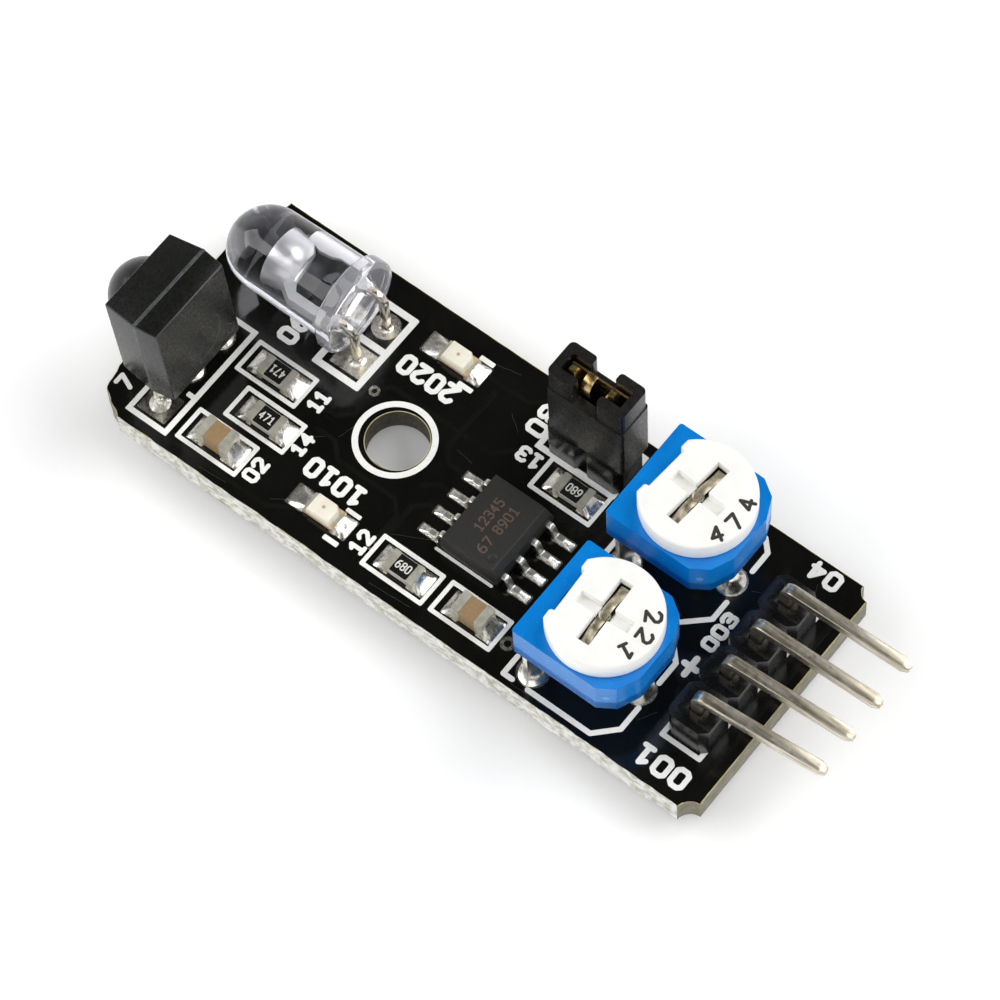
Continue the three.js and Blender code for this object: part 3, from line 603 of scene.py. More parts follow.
SCR = [(18.9, 3.9, 28, 3.2), (12.2, 1.6, 35, 1.4), (28.2, 9.1, -50, 1.3), (35.2, 3.2, 60, 1.1), (16.7, 14.9, 12, 2.0), (20.2, 0.6, 4, 2.6), (5.5, 14.8, -20, 2.2), (12.4, 7.0, 75, 1.5),
       (19.2, 12.6, -35, 1.2), (29.6, 0.42, 2, 2.4), (37.9, 14.2, -70, 0.9), (2.9, 10.9, 60, 1.6), (18.3, 9.4, -8, 1.1), (11.4, 5.7, 40, 0.9), (35.6, 12.4, 30, 0.8), (8.2, 0.45, 5, 1.8)]
for j, (x, y, a, L) in enumerate(SCR):
    pts = [(x + L * (u / 6 - 0.5) * cos(rad(a)) + 0.05 * n3(u, j, 0, 0.7), y + L * (u / 6 - 0.5) * sin(rad(a)) + 0.05 * n3(u, j, 5, 0.7)) for u in range(7)]
    for p, q in zip(pts, pts[1:]):
        scr.capsule(p, q, 0.022, -0.002, 0.0016, seg=2)
piece("mask_scratches", scr, SCRATCH, sharp=30)

# ------------------------------------------------------------------ pads
pads = Geo()
PZ = 0.018


def pad_rect(x0, x1, y0, y1, r=0.06, z1=PZ, z0=-0.005):
    pads.prism(rrect(x1 - x0, y1 - y0, r, 2, (x0 + x1) / 2, (y0 + y1) / 2), z0, z1)


def pad_ring(x, y, r, hole, z0=-0.005, z1=PZ, square=None):
    outer = circle(x, y, r, 40) if square is None else rrect(square[0], square[1], 0.05, 2, x + square[2], y + square[3])
    pads.prism(outer, z0, z1, [circle(x, y, hole, 24)])


CHIPS = [("resistor_1", 7.3, 7.2, 5.6, 9.05, 6.5, 8.0), ("resistor_2", 8.6, 4.68, 6.92, 10.3, 3.98, 5.45), ("resistor_3", 19.95, 2.15, 18.32, 21.65, 1.42, 2.93), ("resistor_4", 24.35, 11.12, 22.65, 25.95, 10.38, 11.88)]
CAPS = [("capacitor_1", 7.35, 2.15, 5.65, 9.05, 1.4, 3.0), ("capacitor_2", 24.6, 2.18, 22.9, 26.2, 1.45, 2.98)]
for _, cx, cy, x0, x1, y0, y1 in CHIPS + CAPS:
    pad_rect(x0, cx - 0.62, y0, y1)
    pad_rect(cx + 0.62, x1, y0, y1)
for cy in (2.25, 13.75):
    pad_rect(12.3, 13.45, cy - 0.7, cy + 0.7)
    pad_rect(15.3, 16.32, cy - 0.7, cy + 0.7)
for y in (4.755, 6.025, 7.295, 8.565):
    pad_rect(18.95, 20.35, y - 0.3, y + 0.3)
    pad_rect(24.9, 26.33, y - 0.3, y + 0.3)
pad_ring(LEGS_R[0][0], LEGS_R[0][1], 0.8, 0.43, square=(1.9, 1.75, 0.05, -0.02))
for x, y in LEGS_R[1:]:
    pad_ring(x, y, 0.85, 0.43)
pad_ring(LEGS_E[0][0], LEGS_E[0][1], 0.9, 0.46, square=(2.02, 1.72, -0.15, -0.06))
pad_ring(LEGS_E[1][0], LEGS_E[1][1], 0.83, 0.46)
for x, y in LEGS_T:
    pad_ring(x, y, 0.92, 0.5)
for x, y in PINS_J + PINS_H:
    pad_ring(x, y, 0.85, 0.52)
for x, y in LEGS_R + LEGS_E:
    pad_ring(x, y, 0.85, 0.44, -BT - PZ, -BT + 0.005)
for x, y in LEGS_T + PINS_J + PINS_H:
    pad_ring(x, y, 0.95, 0.5, -BT - PZ, -BT + 0.005)
for x, y, r in ((17.6, 2.3, 0.3), (26.9, 2.1, 0.42), (12.0, 9.6, 0.32)):
    pads.prism(circle(x, y, r, 24), -0.003, 0.016, [circle(x, y, r * 0.5, 16)])
piece("pads", pads, PAD, sharp=30)
barrels = Geo()
for (x, y), r in [(p, 0.425) for p in LEGS_R] + [(p, 0.465) for p in LEGS_E] + [(p, 0.505) for p in LEGS_T] + [(p, 0.525) for p in PINS_J + PINS_H]:
    barrels.prism(circle(x, y, r, 20), -BT - 0.002, 0.002, [circle(x, y, r - 0.03, 20)])
piece("plated_holes", barrels, PAD, sharp=40)

# ------------------------------------------------------------------ silkscreen: lines, then plain digits
ink_lines = Geo()
SK = [0]


def zt():
    SK[0] += 1
    return 0.018 + 0.0002 * (SK[0] % 53)


def bar(x0, x1, y0, y1):
    ink_lines.prism(rrect(x1 - x0, y1 - y0, 0.06, 2, (x0 + x1) / 2, (y0 + y1) / 2), -0.002, zt())


def frame_box(x0, x1, y0, y1, w=0.26):
    ink_lines.prism(rrect(x1 - x0, y1 - y0, 0.1, 2, (x0 + x1) / 2, (y0 + y1) / 2), -0.002, zt(),
                    [rrect(x1 - x0 - 2 * w, y1 - y0 - 2 * w, 0.03, 1, (x0 + x1) / 2, (y0 + y1) / 2)])


def line(pts, w=0.3):
    for a, b in zip(pts, pts[1:]):
        ink_lines.capsule(a, b, w, -0.002, zt())


bar(1.95, 2.25, 0.73, 3.3); bar(1.95, 4.78, 0.73, 1.05); bar(4.46, 4.78, 0.73, 8.65); bar(1.95, 4.78, 8.35, 8.65); bar(1.95, 2.25, 6.1, 8.65); bar(4.05, 4.5, 3.3, 3.6)
for b in ((5.08, 9.25, 6.13, 8.37), (6.35, 10.5, 3.6, 5.82), (5.13, 9.3, 1.03, 3.25), (17.75, 21.93, 1.05, 3.28), (22.3, 26.43, 1.1, 3.32), (22.0, 26.15, 10.0, 12.3)):
    frame_box(*b, w=0.25)
ink_lines.prism(circle(14.72, 7.96, 2.33, 96), -0.002, zt(), [circle(14.72, 7.96, 1.98, 96)])
frame_box(8.1, 11.3, 9.0, 14.42, w=0.4)
bar(8.3, 11.1, 11.5, 11.92)
bar(15.25, 16.22, 14.5, 14.8); bar(15.25, 16.22, 12.55, 12.85); bar(15.25, 16.22, 3.05, 3.3); bar(15.25, 16.22, 1.05, 1.35)
bar(20.4, 24.25, 4.12, 4.3)
bar(20.87, 26.2, 12.12, 12.47); bar(20.87, 21.2, 12.12, 15.2); bar(20.87, 26.2, 14.95, 15.25); bar(25.9, 26.2, 12.12, 15.25)
line([(27.76, 1.85), (27.76, 0.63), (28.35, 0.63)]); line([(29.35, 0.63), (33.45, 0.63), (34.57, 1.78), (34.57, 3.3)]); line([(34.57, 5.05), (34.57, 6.5), (33.9, 7.2)])
line([(27.76, 2.6), (27.76, 5.4)]); line([(27.76, 8.5), (33.3, 8.5), (34.57, 9.68), (34.57, 10.9)]); line([(34.57, 13.15), (34.57, 14.5), (33.95, 15.15), (27.76, 15.15), (27.76, 13.4)]); line([(27.76, 9.5), (27.76, 10.6)])
frame_box(36.3, 38.97, 2.72, 13.4, w=0.28)
piece("silkscreen_lines", ink_lines, SILK, sharp=30)

DIGITS = {
    "0": [[(.15, 0), (.45, 0), (.6, .15), (.6, .85), (.45, 1), (.15, 1), (0, .85), (0, .15), (.15, 0)]],
    "1": [[(.08, .78), (.33, 1), (.33, 0)], [(.1, 0), (.56, 0)]],
    "2": [[(0, .82), (.15, 1), (.45, 1), (.6, .85), (.6, .62), (0, 0), (.6, 0)]],
    "3": [[(0, .88), (.12, 1), (.45, 1), (.6, .86), (.6, .65), (.45, .52), (.2, .52)], [(.45, .52), (.6, .38), (.6, .14), (.45, 0), (.12, 0), (0, .12)]],
    "4": [[(.45, 0), (.45, 1), (0, .32), (.6, .32)]],
    "5": [[(.58, 1), (.05, 1), (.03, .58), (.42, .6), (.6, .44), (.6, .15), (.45, 0), (.13, 0), (0, .12)]],
    "6": [[(.52, 1), (.25, .95), (0, .6), (0, .15), (.15, 0), (.45, 0), (.6, .15), (.6, .42), (.45, .57), (.15, .57), (0, .42)]],
    "7": [[(0, 1), (.6, 1), (.2, 0)]],
    "8": [[(.15, .54), (0, .68), (0, .87), (.15, 1), (.45, 1), (.6, .87), (.6, .68), (.45, .54), (.15, .54), (0, .38), (0, .14), (.15, 0), (.45, 0), (.6, .14), (.6, .38), (.45, .54)]],
    "9": [[(.08, 0), (.35, .05), (.6, .4), (.6, .85), (.45, 1), (.15, 1), (0, .85), (0, .58), (.15, .43), (.45, .43), (.6, .58)]],
    "+": [[(.3, .1), (.3, .9)], [(-.1, .5), (.7, .5)]],
    "-": [[(0, .5), (.6, .5)]],
}


def digits(geo, text, cx, cy, w, h, angle, stroke, z0=-0.002, z1=0.02, M=None, mat=0):
    """Writes plain stroke digits, w wide and h high overall, centred on cx, cy."""
    n = len(text)
    unit = n * 0.6 + (n - 1) * 0.34
    kx, ky = (w - stroke) / unit, (h - stroke)
    place = T((cx, cy, 0)) @ rot(angle)
    if M is not None:
        place = M @ place
    k = 0
    for i, ch in enumerate(text):
        for pl in DIGITS[ch]:
            q = [((i * 0.94 + x - unit / 2) * kx, (y - 0.5) * ky) for x, y in pl]
            for a, b in zip(q, q[1:]):
                geo.capsule(a, b, stroke, z0, z1 + 0.0003 * (k % 37), M=place, mat=mat)
                k += 1


marks = Geo()
for text, cx, cy, w, h, a, s in (
    ("7", 0.95, 1.95, 0.8, 1.1, 90, 0.26), ("11", 10.0, 7.28, 1.3, 1.0, 90, 0.24), ("14", 10.95, 4.75, 1.45, 0.9, 90, 0.24), ("02", 9.92, 2.05, 1.5, 1.0, 90, 0.24),
    ("12", 17.1, 2.1, 1.5, 1.0, 90, 0.24), ("13", 21.1, 11.42, 1.5, 1.02, 180, 0.24), ("2020", 13.85, 11.9, 3.8, 1.3, 180, 0.3), ("1010", 13.75, 4.05, 3.75, 1.3, 180, 0.3),
    ("06", 6.15, 9.95, 1.9, 1.25, 90, 0.3), ("08", 20.35, 13.6, 2.0, 1.3, 90, 0.28), ("003", 35.33, 9.3, 2.5, 0.98, 90, 0.26), ("+", 35.3, 6.8, 1.2, 1.35, 90, 0.36),
    ("001", 37.55, 1.38, 3.25, 1.32, 180, 0.3), ("04", 37.78, 15.22, 1.95, 1.2, 180, 0.28), ("01", 27.2, 3.9, 1.2, 0.8, 90, 0.2),
):
    digits(marks, text, cx, cy, w, h, a, s, z1=0.021)
piece("silkscreen_digits", marks, SILK, sharp=30)

# ------------------------------------------------------------------ solder helpers
solder = Geo()


def fillet(x, y, dx, half, h, run, spread=1.12, lump=0.0, seed=0.0, nu=9, nv=12, M=None):
    """Solder running down from an end face at x, towards dx, onto its pad."""
    verts, faces = [], []
    for i in range(nu + 1):
        u = i / nu
        for j in range(nv + 1):
            v = -1 + 2 * j / nv
            top = h * (1 - u) ** 1.9 * (1 - 0.18 * v * v) + 0.09 * (1 - u ** 3)
            side = 1 - abs(v) ** 6
            z = PZ + top * side + lump * n3(u * 3, v * 3, 0, 1.0, seed) * (1 - u) * side
            verts.append((x + dx * (u * run - 0.02), y + half * v * (1 + (spread - 1) * u) * (1 if abs(v) < 1 else 1.02), max(PZ * 0.6, z)))
    for i in range(nu):
        for j in range(nv):
            a = i * (nv + 1) + j
            q = (a, a + 1, a + nv + 2, a + nv + 1)
            faces.append(q if dx < 0 else q[::-1])
    solder.add(verts, faces, M=M)


def cone(x, y, r, top_r, z0, z1, seed=0.0, n=28, rows=7, wet=1.7, squash=(1, 1)):
    """Concave solder round a leg, from the pad at z0 to the wetting line at z1."""
    rings = []
    for j in range(rows + 1):
        t = j / rows
        rr = top_r + (r - top_r) * (1 - t) ** wet
        z = z0 + (z1 - z0) * t
        rings.append([(x + rr * squash[0] * (1 + 0.05 * n3(cos(2 * pi * i / n), sin(2 * pi * i / n), t, 1.2, seed)) * cos(2 * pi * i / n),
                       y + rr * squash[1] * (1 + 0.05 * n3(cos(2 * pi * i / n), sin(2 * pi * i / n), t, 1.2, seed + 4)) * sin(2 * pi * i / n), z) for i in range(n)])
    if z1 < z0:
        rings = [r[::-1] for r in rings]
    solder.loft(rings, cap0=True, cap1=True)


# ------------------------------------------------------------------ chip resistors and capacitors
for i, (name, cx, cy, x0, x1, y0, y1) in enumerate(CHIPS):
    g = Geo()
    g.prism(rrect(1.96, 1.2, 0.03, 1, cx, cy), 0.07, 0.47, mat=1)
    g.prism(rrect(1.1, 1.13, 0.05, 2, cx, cy), 0.46, 0.5, mat=0)
    for s in (-1, 1):
        xo, xi = cx + s * 1.0, cx + s * 0.6
        lo, hi = min(xo, xi), max(xo, xi)
        g.prism(rrect(hi - lo, 1.25, 0.05, 2, (lo + hi) / 2, cy), 0.05, 0.53, mat=2)
    piece(name + "_body", g, [RESTOP, CERAMIC, TERMINAL], replaces=[name], bev=(0.035, 2, 40))
    d = Geo()
    code, ang = (("471", 180) if i == 0 else ("471", 0)) if i < 2 else (("680", 0) if i == 2 else ("680", 180))
    digits(d, code, cx, cy, 0.92, 0.52, ang, 0.075, z0=0.495, z1=0.506)
    piece(name + "_digits", d, RESINK)
    for s in (-1, 1):
        run = (x1 - cx - 1.0) if s > 0 else (cx - 1.0 - x0)
        fillet(cx + s * 1.0, cy, s, 0.62, 0.4, run, spread=1.16, lump=0.06, seed=i * 3 + s)
for i, (name, cx, cy, x0, x1, y0, y1) in enumerate(CAPS):
    g = Geo()
    g.prism(rrect(1.9, 1.2, 0.06, 2, cx, cy), 0.07, 1.21, mat=0)
    for s in (-1, 1):
        xo, xi = cx + s * 1.0, cx + s * 0.5
        lo, hi = min(xo, xi), max(xo, xi)
        g.prism(rrect(hi - lo, 1.28, 0.08, 2, (lo + hi) / 2, cy), 0.05, 1.25, mat=1)
    piece(name + "_body", g, [CAPBODY, TERMINAL], replaces=[name], bev=(0.11, 3, 40))
    for s in (-1, 1):
        run = (x1 - cx - 1.0) if s > 0 else (cx - 1.0 - x0)
        fillet(cx + s * 1.0, cy, s, 0.64, 0.8, run, spread=1.18, lump=0.1, seed=i * 5 + s + 20)

# ------------------------------------------------------------------ indicator LEDs
for i, (name, cx, cy) in enumerate((("power_led", 14.5, 2.25), ("status_led", 14.5, 13.75))):
    g = Geo()
    g.prism(rrect(2.02, 1.24, 0.03, 1, cx, cy), 0.06, 0.34, mat=0)
    for s in (-1, 1):
        g.prism(round_poly([(cx + s * 1.03, cy - 0.625), (cx + s * 1.03, cy + 0.625), (cx + s * 0.86, cy + 0.625), (cx + s * 0.86, cy + 0.3)]
                           + [(cx + s * (0.86 - 0.12 * cos(rad(a))), cy + 0.3 * sin(rad(a))) for a in (60, 30, 0, -30, -60)]
                           + [(cx + s * 0.86, cy - 0.3), (cx + s * 0.86, cy - 0.625)], 0.0, 1), 0.05, 0.36, mat=1)
    piece(name + "_laminate", g, [LEDBASE, TERMINAL], replaces=[name + "_base"], bev=(0.02, 1, 40), merge=0.0002)
    g = Geo()
    ring = lambda k, z: [(x, y, z) for x, y in round_poly([(cx - 0.8 + k, cy - 0.62 + k), (cx + 0.78 - k, cy - 0.62 + k), (cx + 0.78 - k, cy + 0.28), (cx + 0.46, cy + 0.62 - k), (cx - 0.8 + k, cy + 0.62 - k)], 0.05, 3)]
    g.loft([ring(0.0, 0.33), ring(0.0, 0.42), ring(0.04, 0.66), ring(0.07, 0.74), ring(0.12, 0.775)])
    piece(name + "_resin", g, LEDLENS, replaces=[name + "_lens"], sharp=50)
    g = Geo()
    g.prism(circle(cx - 0.02, cy + 0.02, 0.1, 20), 0.77, 0.7775)
    piece(name + "_die", g, LEDDOT)
    g = Geo()
    g.prism(rrect(0.22, 0.16, 0.04, 2, cx - 0.72, cy - 0.56), 0.34, 0.352)
    piece(name + "_mark", g, GREENDOT)
    fillet(cx - 1.02, cy, -1, 0.6, 0.2, 1.1, spread=1.12, lump=0.05, seed=40 + i)
    fillet(cx + 1.02, cy, 1, 0.6, 0.22, 0.78, spread=1.12, lump=0.08, seed=44 + i)

# ------------------------------------------------------------------ timer chip
CX, CY = 22.64, 6.66
g = Geo()


def chip_ring(k, kx1, z):
    return [(x, y, z) for x, y in round_poly([(CX - 1.95 + k, CY - 2.45 + k), (CX + 1.95 - kx1, CY - 2.45 + k), (CX + 1.95 - kx1, CY + 2.45 - k), (CX - 1.95 + k, CY + 2.45 - k)], 0.05, 3)]


rows = [chip_ring(0.14, 0.14, 0.12), chip_ring(0.11, 0.11, 0.14), chip_ring(0.0, 0.0, 0.79), chip_ring(0.0, 0.0, 0.91), chip_ring(0.09, 0.1, 1.24),
        chip_ring(0.12, 0.42, 1.52), chip_ring(0.14, 0.46, 1.55), chip_ring(0.19, 0.52, 1.56)]
top_ring = rows[-1]
g.loft(rows, cap0=True, cap1=False)
dx_, dy_ = CX + 1.95 - 0.9, CY - 2.45 + 0.78
dimple = [circle(dx_, dy_, r, 28) for r in (0.3, 0.27, 0.2, 0.1)]
o = len(g.v)
outer = [(p[0], p[1]) for p in top_ring]
flat = outer + dimple[0]
g.add([(x, y, 1.56) for x, y in flat], [])
for t in tessellate_polygon([[Vector((x, y, 0)) for x, y in outer], [Vector((x, y, 0)) for x, y in dimple[0]]]):
    a, b, c = (Vector((*flat[i], 0)) for i in t)
    t = list(t) if (b - a).cross(c - a).z > 0 else list(t)[::-1]
    g.f.append([o + i for i in t]); g.m.append(0)
g.loft([[(x, y, z) for x, y in d] for d, z in zip(dimple, (1.56, 1.53, 1.495, 1.485))], cap0=False, cap1=True)
piece("timer_chip_moulding", g, CHIP, replaces=["timer_chip_body"], merge=0.0005, sharp=28)
g = Geo()
digits(g, "12345", 22.0, 6.87, 2.15, 0.62, 90, 0.09, z0=1.555, z1=1.5605)
digits(g, "67", 22.92, 5.35, 0.95, 0.62, 90, 0.09, z0=1.555, z1=1.5605)
digits(g, "8901", 22.92, 7.12, 1.75, 0.62, 90, 0.09, z0=1.555, z1=1.5605)
piece("timer_chip_digits", g, CHIPINK)
wing = [(1.9, 0.86), (2.08, 0.86)] + [(2.08 + 0.16 * sin(rad(a)), 0.70 + 0.16 * cos(rad(a))) for a in (20, 40, 60, 72)] \
    + [(2.32, 0.52), (2.40, 0.30)] + [(2.58 - 0.18 * cos(rad(a)), 0.32 - 0.18 * sin(rad(a))) for a in (22, 45, 68)] + [(2.60, 0.14), (2.82, 0.14), (3.0, 0.14)]
for i in range(8):
    right = i < 4
    y = CY + ((i - 1.5) if right else (5.5 - i)) * 1.27
    s = 1 if right else -1
    g = Geo()
    g.sweep([(CX + s * x, y, z) for x, z in wing], rrect(0.41, 0.19, 0.045, 2), (0, s, 0))
    piece(f"timer_chip_tin_lead_{i + 1}", g, LEADTIN, replaces=[f"timer_chip_lead_{i + 1}"], sharp=50)
    # solder: a bright pillow in front of the foot and a smaller one behind it
    fillet(CX + s * 2.99, y, s, 0.25, 0.13, 0.62, spread=1.0, lump=0.05, seed=60 + i, nu=7, nv=8)
    fillet(CX + s * 2.58, y, -s, 0.22, 0.16, 0.3, spread=1.0, lump=0.03, seed=80 + i, nu=5, nv=8)
    rings = []
    for t in range(8):
        u = t / 7
        xx = CX + s * (2.5 + 0.62 * u)
        hh = 0.07 + 0.05 * sin(pi * u)
        rings.append([(xx, y + 0.27 * cos(rad(a)), 0.02 + hh * sin(rad(a))) for a in range(0, 181, 20)])
    solder.loft(rings if s > 0 else rings[::-1], cap0=False, cap1=False, closed=False)

# ------------------------------------------------------------------ infrared receiver
RM = T((3.27, 4.66, 1.9)) @ rot(-4.7, "Y")


def recv_ring(x, hw, lo, hi, r):
    pts = round_poly([(-hw, lo), (hw, lo), (hw, hi), (-hw, hi)], r, 4)
    return [(x, a, b) for a, b in pts]


g = Geo()
front = [recv_ring(-2.2, 2.64, 0.2, 6.37, 0.05), recv_ring(-2.17, 2.67, 0.17, 6.40, 0.06), recv_ring(-0.13, 2.905, 0.01, 6.535, 0.06), recv_ring(-0.11, 2.905, 0.01, 6.535, 0.06)]
back = [recv_ring(0.11, 2.9, 0.01, 6.535, 0.06), recv_ring(0.13, 2.9, 0.01, 6.535, 0.06), recv_ring(1.35, 2.745, 0.1, 6.475, 0.06), recv_ring(1.39, 2.725, 0.12, 6.46, 0.06), recv_ring(1.42, 2.69, 0.15, 6.43, 0.05)]
g.loft(front, cap0=True, cap1=True)
g.loft(back, cap0=True, cap1=True)
# the parting ridge round the middle is lighter: painted highlight
mid = [recv_ring(-0.11, 2.9, 0.012, 6.53, 0.05), recv_ring(-0.06, 2.92, 0.0, 6.55, 0.04), recv_ring(0.06, 2.92, 0.0, 6.55, 0.04), recv_ring(0.11, 2.9, 0.012, 6.53, 0.05)]
g.loft(mid, cap0=False, cap1=False, mat=1)
# lens on the front
nl = 40
lens = []
for j in range(13):
    a = rad(90 * j / 12)
    rr, xx = 2.05 * cos(a), -2.07 - 2.04 * sin(a)
    lens.append([(xx, rr * cos(2 * pi * i / nl), 3.99 + rr * sin(2 * pi * i / nl)) for i in range(nl)])
lens = [[(-1.95, 2.12 * cos(2 * pi * i / nl), 3.99 + 2.12 * sin(2 * pi * i / nl)) for i in range(nl)], [(-2.16, 2.09 * cos(2 * pi * i / nl), 3.99 + 2.09 * sin(2 * pi * i / nl)) for i in range(nl)]] + lens[1:]
g.loft(lens, cap0=False, cap1=False)
# ejector mark: a shallow ring that is deepest on its lower right, drawn in the lighter parting material as a painted
# highlight
for r0, r1, a0, a1 in ((1.66, 1.69, 58, 196), (0.9, 0.915, 20, 75)):
    n = 40
    vv, ff = [], []
    for i in range(n + 1):
        a = rad(a0 + (a1 - a0) * i / n)
        d = 0.03 * sin(pi * i / n)
        for rr, dd in ((r0 - 0.025, 0.0), (r0, d), (r1, d), (r1 + 0.025, 0.0)):
            vv.append((1.42 + dd * 0.6, -0.06 + rr * sin(a), 2.6 + rr * cos(a)))
    for i in range(n):
        for j in range(3):
            p = i * 4 + j
            ff.append((p, p + 1, p + 5, p + 4))
    g.add(vv, ff, mat=1)
piece("receiver_moulding", g, [RECV, RIDGE_HIGHLIGHT], replaces=["ir_receiver_body"], M=RM, sharp=28)
for i, (x, y) in enumerate(LEGS_R):
    g = Geo()
    g.sweep([(x, y, -2.9), (x, y, -2.85), (x, y, 1.0), (x, y, 2.25), (x, y, 2.45)], rrect(0.5, 0.3, 0.05, 2), (0, 1, 0), scale=[0.8, 1, 1, 1, 1])
    piece(f"receiver_tin_lead_{i + 1}", g, LEADTIN, replaces=[f"ir_receiver_lead_{i + 1}"], sharp=50)
cone(LEGS_R[0][0], LEGS_R[0][1], 0.6, 0.2, PZ, 0.5, seed=1, wet=1.5)
for x, y in LEGS_R[1:]:
    cone(x, y, 0.75, 0.2, PZ, 0.5, seed=y)
g = Geo()
rings = []
for j in range(8):
    a = rad(90 * j / 7)
    rings.append([(3.42 + 0.34 * cos(a) * cos(2 * pi * i / 20), 2.0 + 0.3 * cos(a) * sin(2 * pi * i / 20), 0.45 + 0.5 * sin(a)) for i in range(20)])
g.loft(rings, cap0=True, cap1=True)
piece("receiver_flux_bead", g, SOLDER)

# ------------------------------------------------------------------ infrared emitter
EX, EY, EZ = 9.45, 11.8, 3.15
EM = T((EX, EY, EZ)) @ Matrix(((0, 0, -1, 0), (0, 1, 0, 0), (1, 0, 0, 0), (0, 0, 0, 1)))     # z runs from the back to the dome
prof = [(0.0001, 0.14), (0.6, 0.13), (1.25, 0.09), (1.75, 0.03), (2.1, 0.0), (2.62, 0.0), (2.74, 0.02), (2.81, 0.07), (2.845, 0.15), (2.85, 0.26), (2.85, 0.78), (2.84, 0.88), (2.80, 0.95), (2.72, 0.99),
        (2.58, 1.0), (2.50, 1.02), (2.465, 1.08), (2.46, 1.2), (2.45, 2.6), (2.42, 4.4), (2.385, 6.05)]
for i in range(1, 19):
    a = rad(90 * i / 18)
    prof.append((max(0.0001, 2.38 * cos(a)), 6.17 + 2.38 * sin(a)))
g = Geo()
nE = 96
rings = []
# the flange and the flat back are a little frosted, the barrel and dome are polished
for r, z in prof:
    ring_ = []
    for i in range(nE):
        a = 2 * pi * i / nE
        x_, y_ = r * cos(a), r * sin(a)
        if z < 1.0 and r > 2.3:
            y_ = max(y_, -2.5)
        ring_.append((x_, y_, z))
    rings.append(ring_)
g.loft(rings, cap0=True, cap1=True)
g.m = [1 if sum(g.v[i].z for i in q) / len(q) < 0.99 else 0 for q in g.f]
piece("emitter_lens_moulding", g, [EPOXY, EPOXY_BACK], replaces=["ir_emitter_lens"], M=EM, merge=0.0005, sharp=38)

LX = 10.05


def emitter_leg(y, inner_x):
    zt_ = EZ
    path = [(inner_x, y, zt_), (8.6, y, zt_), (LX - 0.62, y, zt_)]
    path += [(LX - 0.62 + 0.62 * sin(rad(a)), y, zt_ - 0.62 + 0.62 * cos(rad(a))) for a in range(10, 91, 10)]
    path += [(LX, y, 1.5), (LX + 0.01, y, 0.4), (LX, y, -1.6), (LX, y, -2.8), (LX, y, -2.9)]
    sc = [1.0] * (len(path) - 1) + [0.7]
    return path, sc


g = Geo()
p, sc = emitter_leg(EY - 1.27, 7.6)
g.sweep(p, rrect(0.46, 0.44, 0.12, 4), (0, 1, 0), scale=sc, mat=1)
# stamped anvil: thick plate that widens to the cup
y0 = EY - 1.27
anvil = round_poly([(8.5, y0 + 0.25), (6.35, y0 + 0.27), (6.0, EY - 0.5), (5.9, EY + 0.62), (5.05, EY + 0.62), (5.05, EY - 0.75), (5.6, EY - 1.1), (6.2, y0 - 0.28), (8.5, y0 - 0.25)], 0.08, 3)
g.prism(anvil, EZ - 0.24, EZ + 0.24)
g.prism(rrect(0.62, 0.5, 0.05, 2, 8.2, y0), EZ - 0.42, EZ + 0.3)
cup = [(0.0001, 4.66), (0.36, 4.66), (0.7, 4.32), (0.98, 4.02), (1.04, 4.0), (1.08, 4.02), (1.1, 4.2), (1.04, 4.9), (0.96, 5.5), (0.7, 5.9), (0.0001, 5.95)]
CM = T((0, EY, EZ)) @ Matrix(((0, 0, 1, 0), (0, 1, 0, 0), (-1, 0, 0, 0), (0, 0, 0, 1)))
g.lathe(cup, 40, M=CM, cap0=False, cap1=False)
piece("emitter_cathode", g, [FRAME, LEGTIN], replaces=["ir_emitter_cathode_lead"], bev=(0.03, 2, 50), sharp=40)
g = Geo()
p, sc = emitter_leg(EY + 1.27, 7.6)
g.sweep(p, rrect(0.46, 0.44, 0.12, 4), (0, 1, 0), scale=sc, mat=1)
y1 = EY + 1.27
post = round_poly([(8.5, y1 - 0.25), (8.5, y1 + 0.25), (6.3, y1 + 0.28), (5.3, EY + 1.55), (5.0, EY + 1.4), (5.0, EY + 1.0), (6.0, EY + 0.84), (6.7, EY + 0.9), (7.2, y1 - 0.25)], 0.08, 3)
g.prism(post, EZ - 0.24, EZ + 0.24)
g.prism(rrect(0.62, 0.5, 0.05, 2, 8.2, y1), EZ - 0.42, EZ + 0.3)
piece("emitter_anode", g, [FRAME, LEGTIN], replaces=["ir_emitter_anode_lead"], bev=(0.03, 2, 50), sharp=40)
g = Geo()
g.box(4.5, 4.66, EY - 0.17, EY + 0.17, EZ - 0.17, EZ + 0.17)
piece("emitter_chip", g, moulded("emitter_semiconductor", (70, 66, 58), (92, 88, 74), rough=(0.2, 0.35)), replaces=["ir_emitter_die"], bev=(0.015, 1, 40))
g = Geo()
wire = []
for i in range(15):
    u = i / 14
    wire.append((4.5 + (5.05 - 4.5) * u - 0.55 * sin(pi * u), EY + 1.2 * u, EZ + 0.12 * sin(pi * u)))
g.sweep(wire, circle(0, 0, 0.025, 8), (0, 0, 1))
piece("emitter_bond_wire", g, BRASS)
cone(LEGS_E[0][0], LEGS_E[0][1], 0.5, 0.27, PZ, 0.2, seed=11, wet=2.2)
cone(LEGS_E[1][0], LEGS_E[1][1], 0.5, 0.27, -0.1, 0.02, seed=12, wet=1.6)

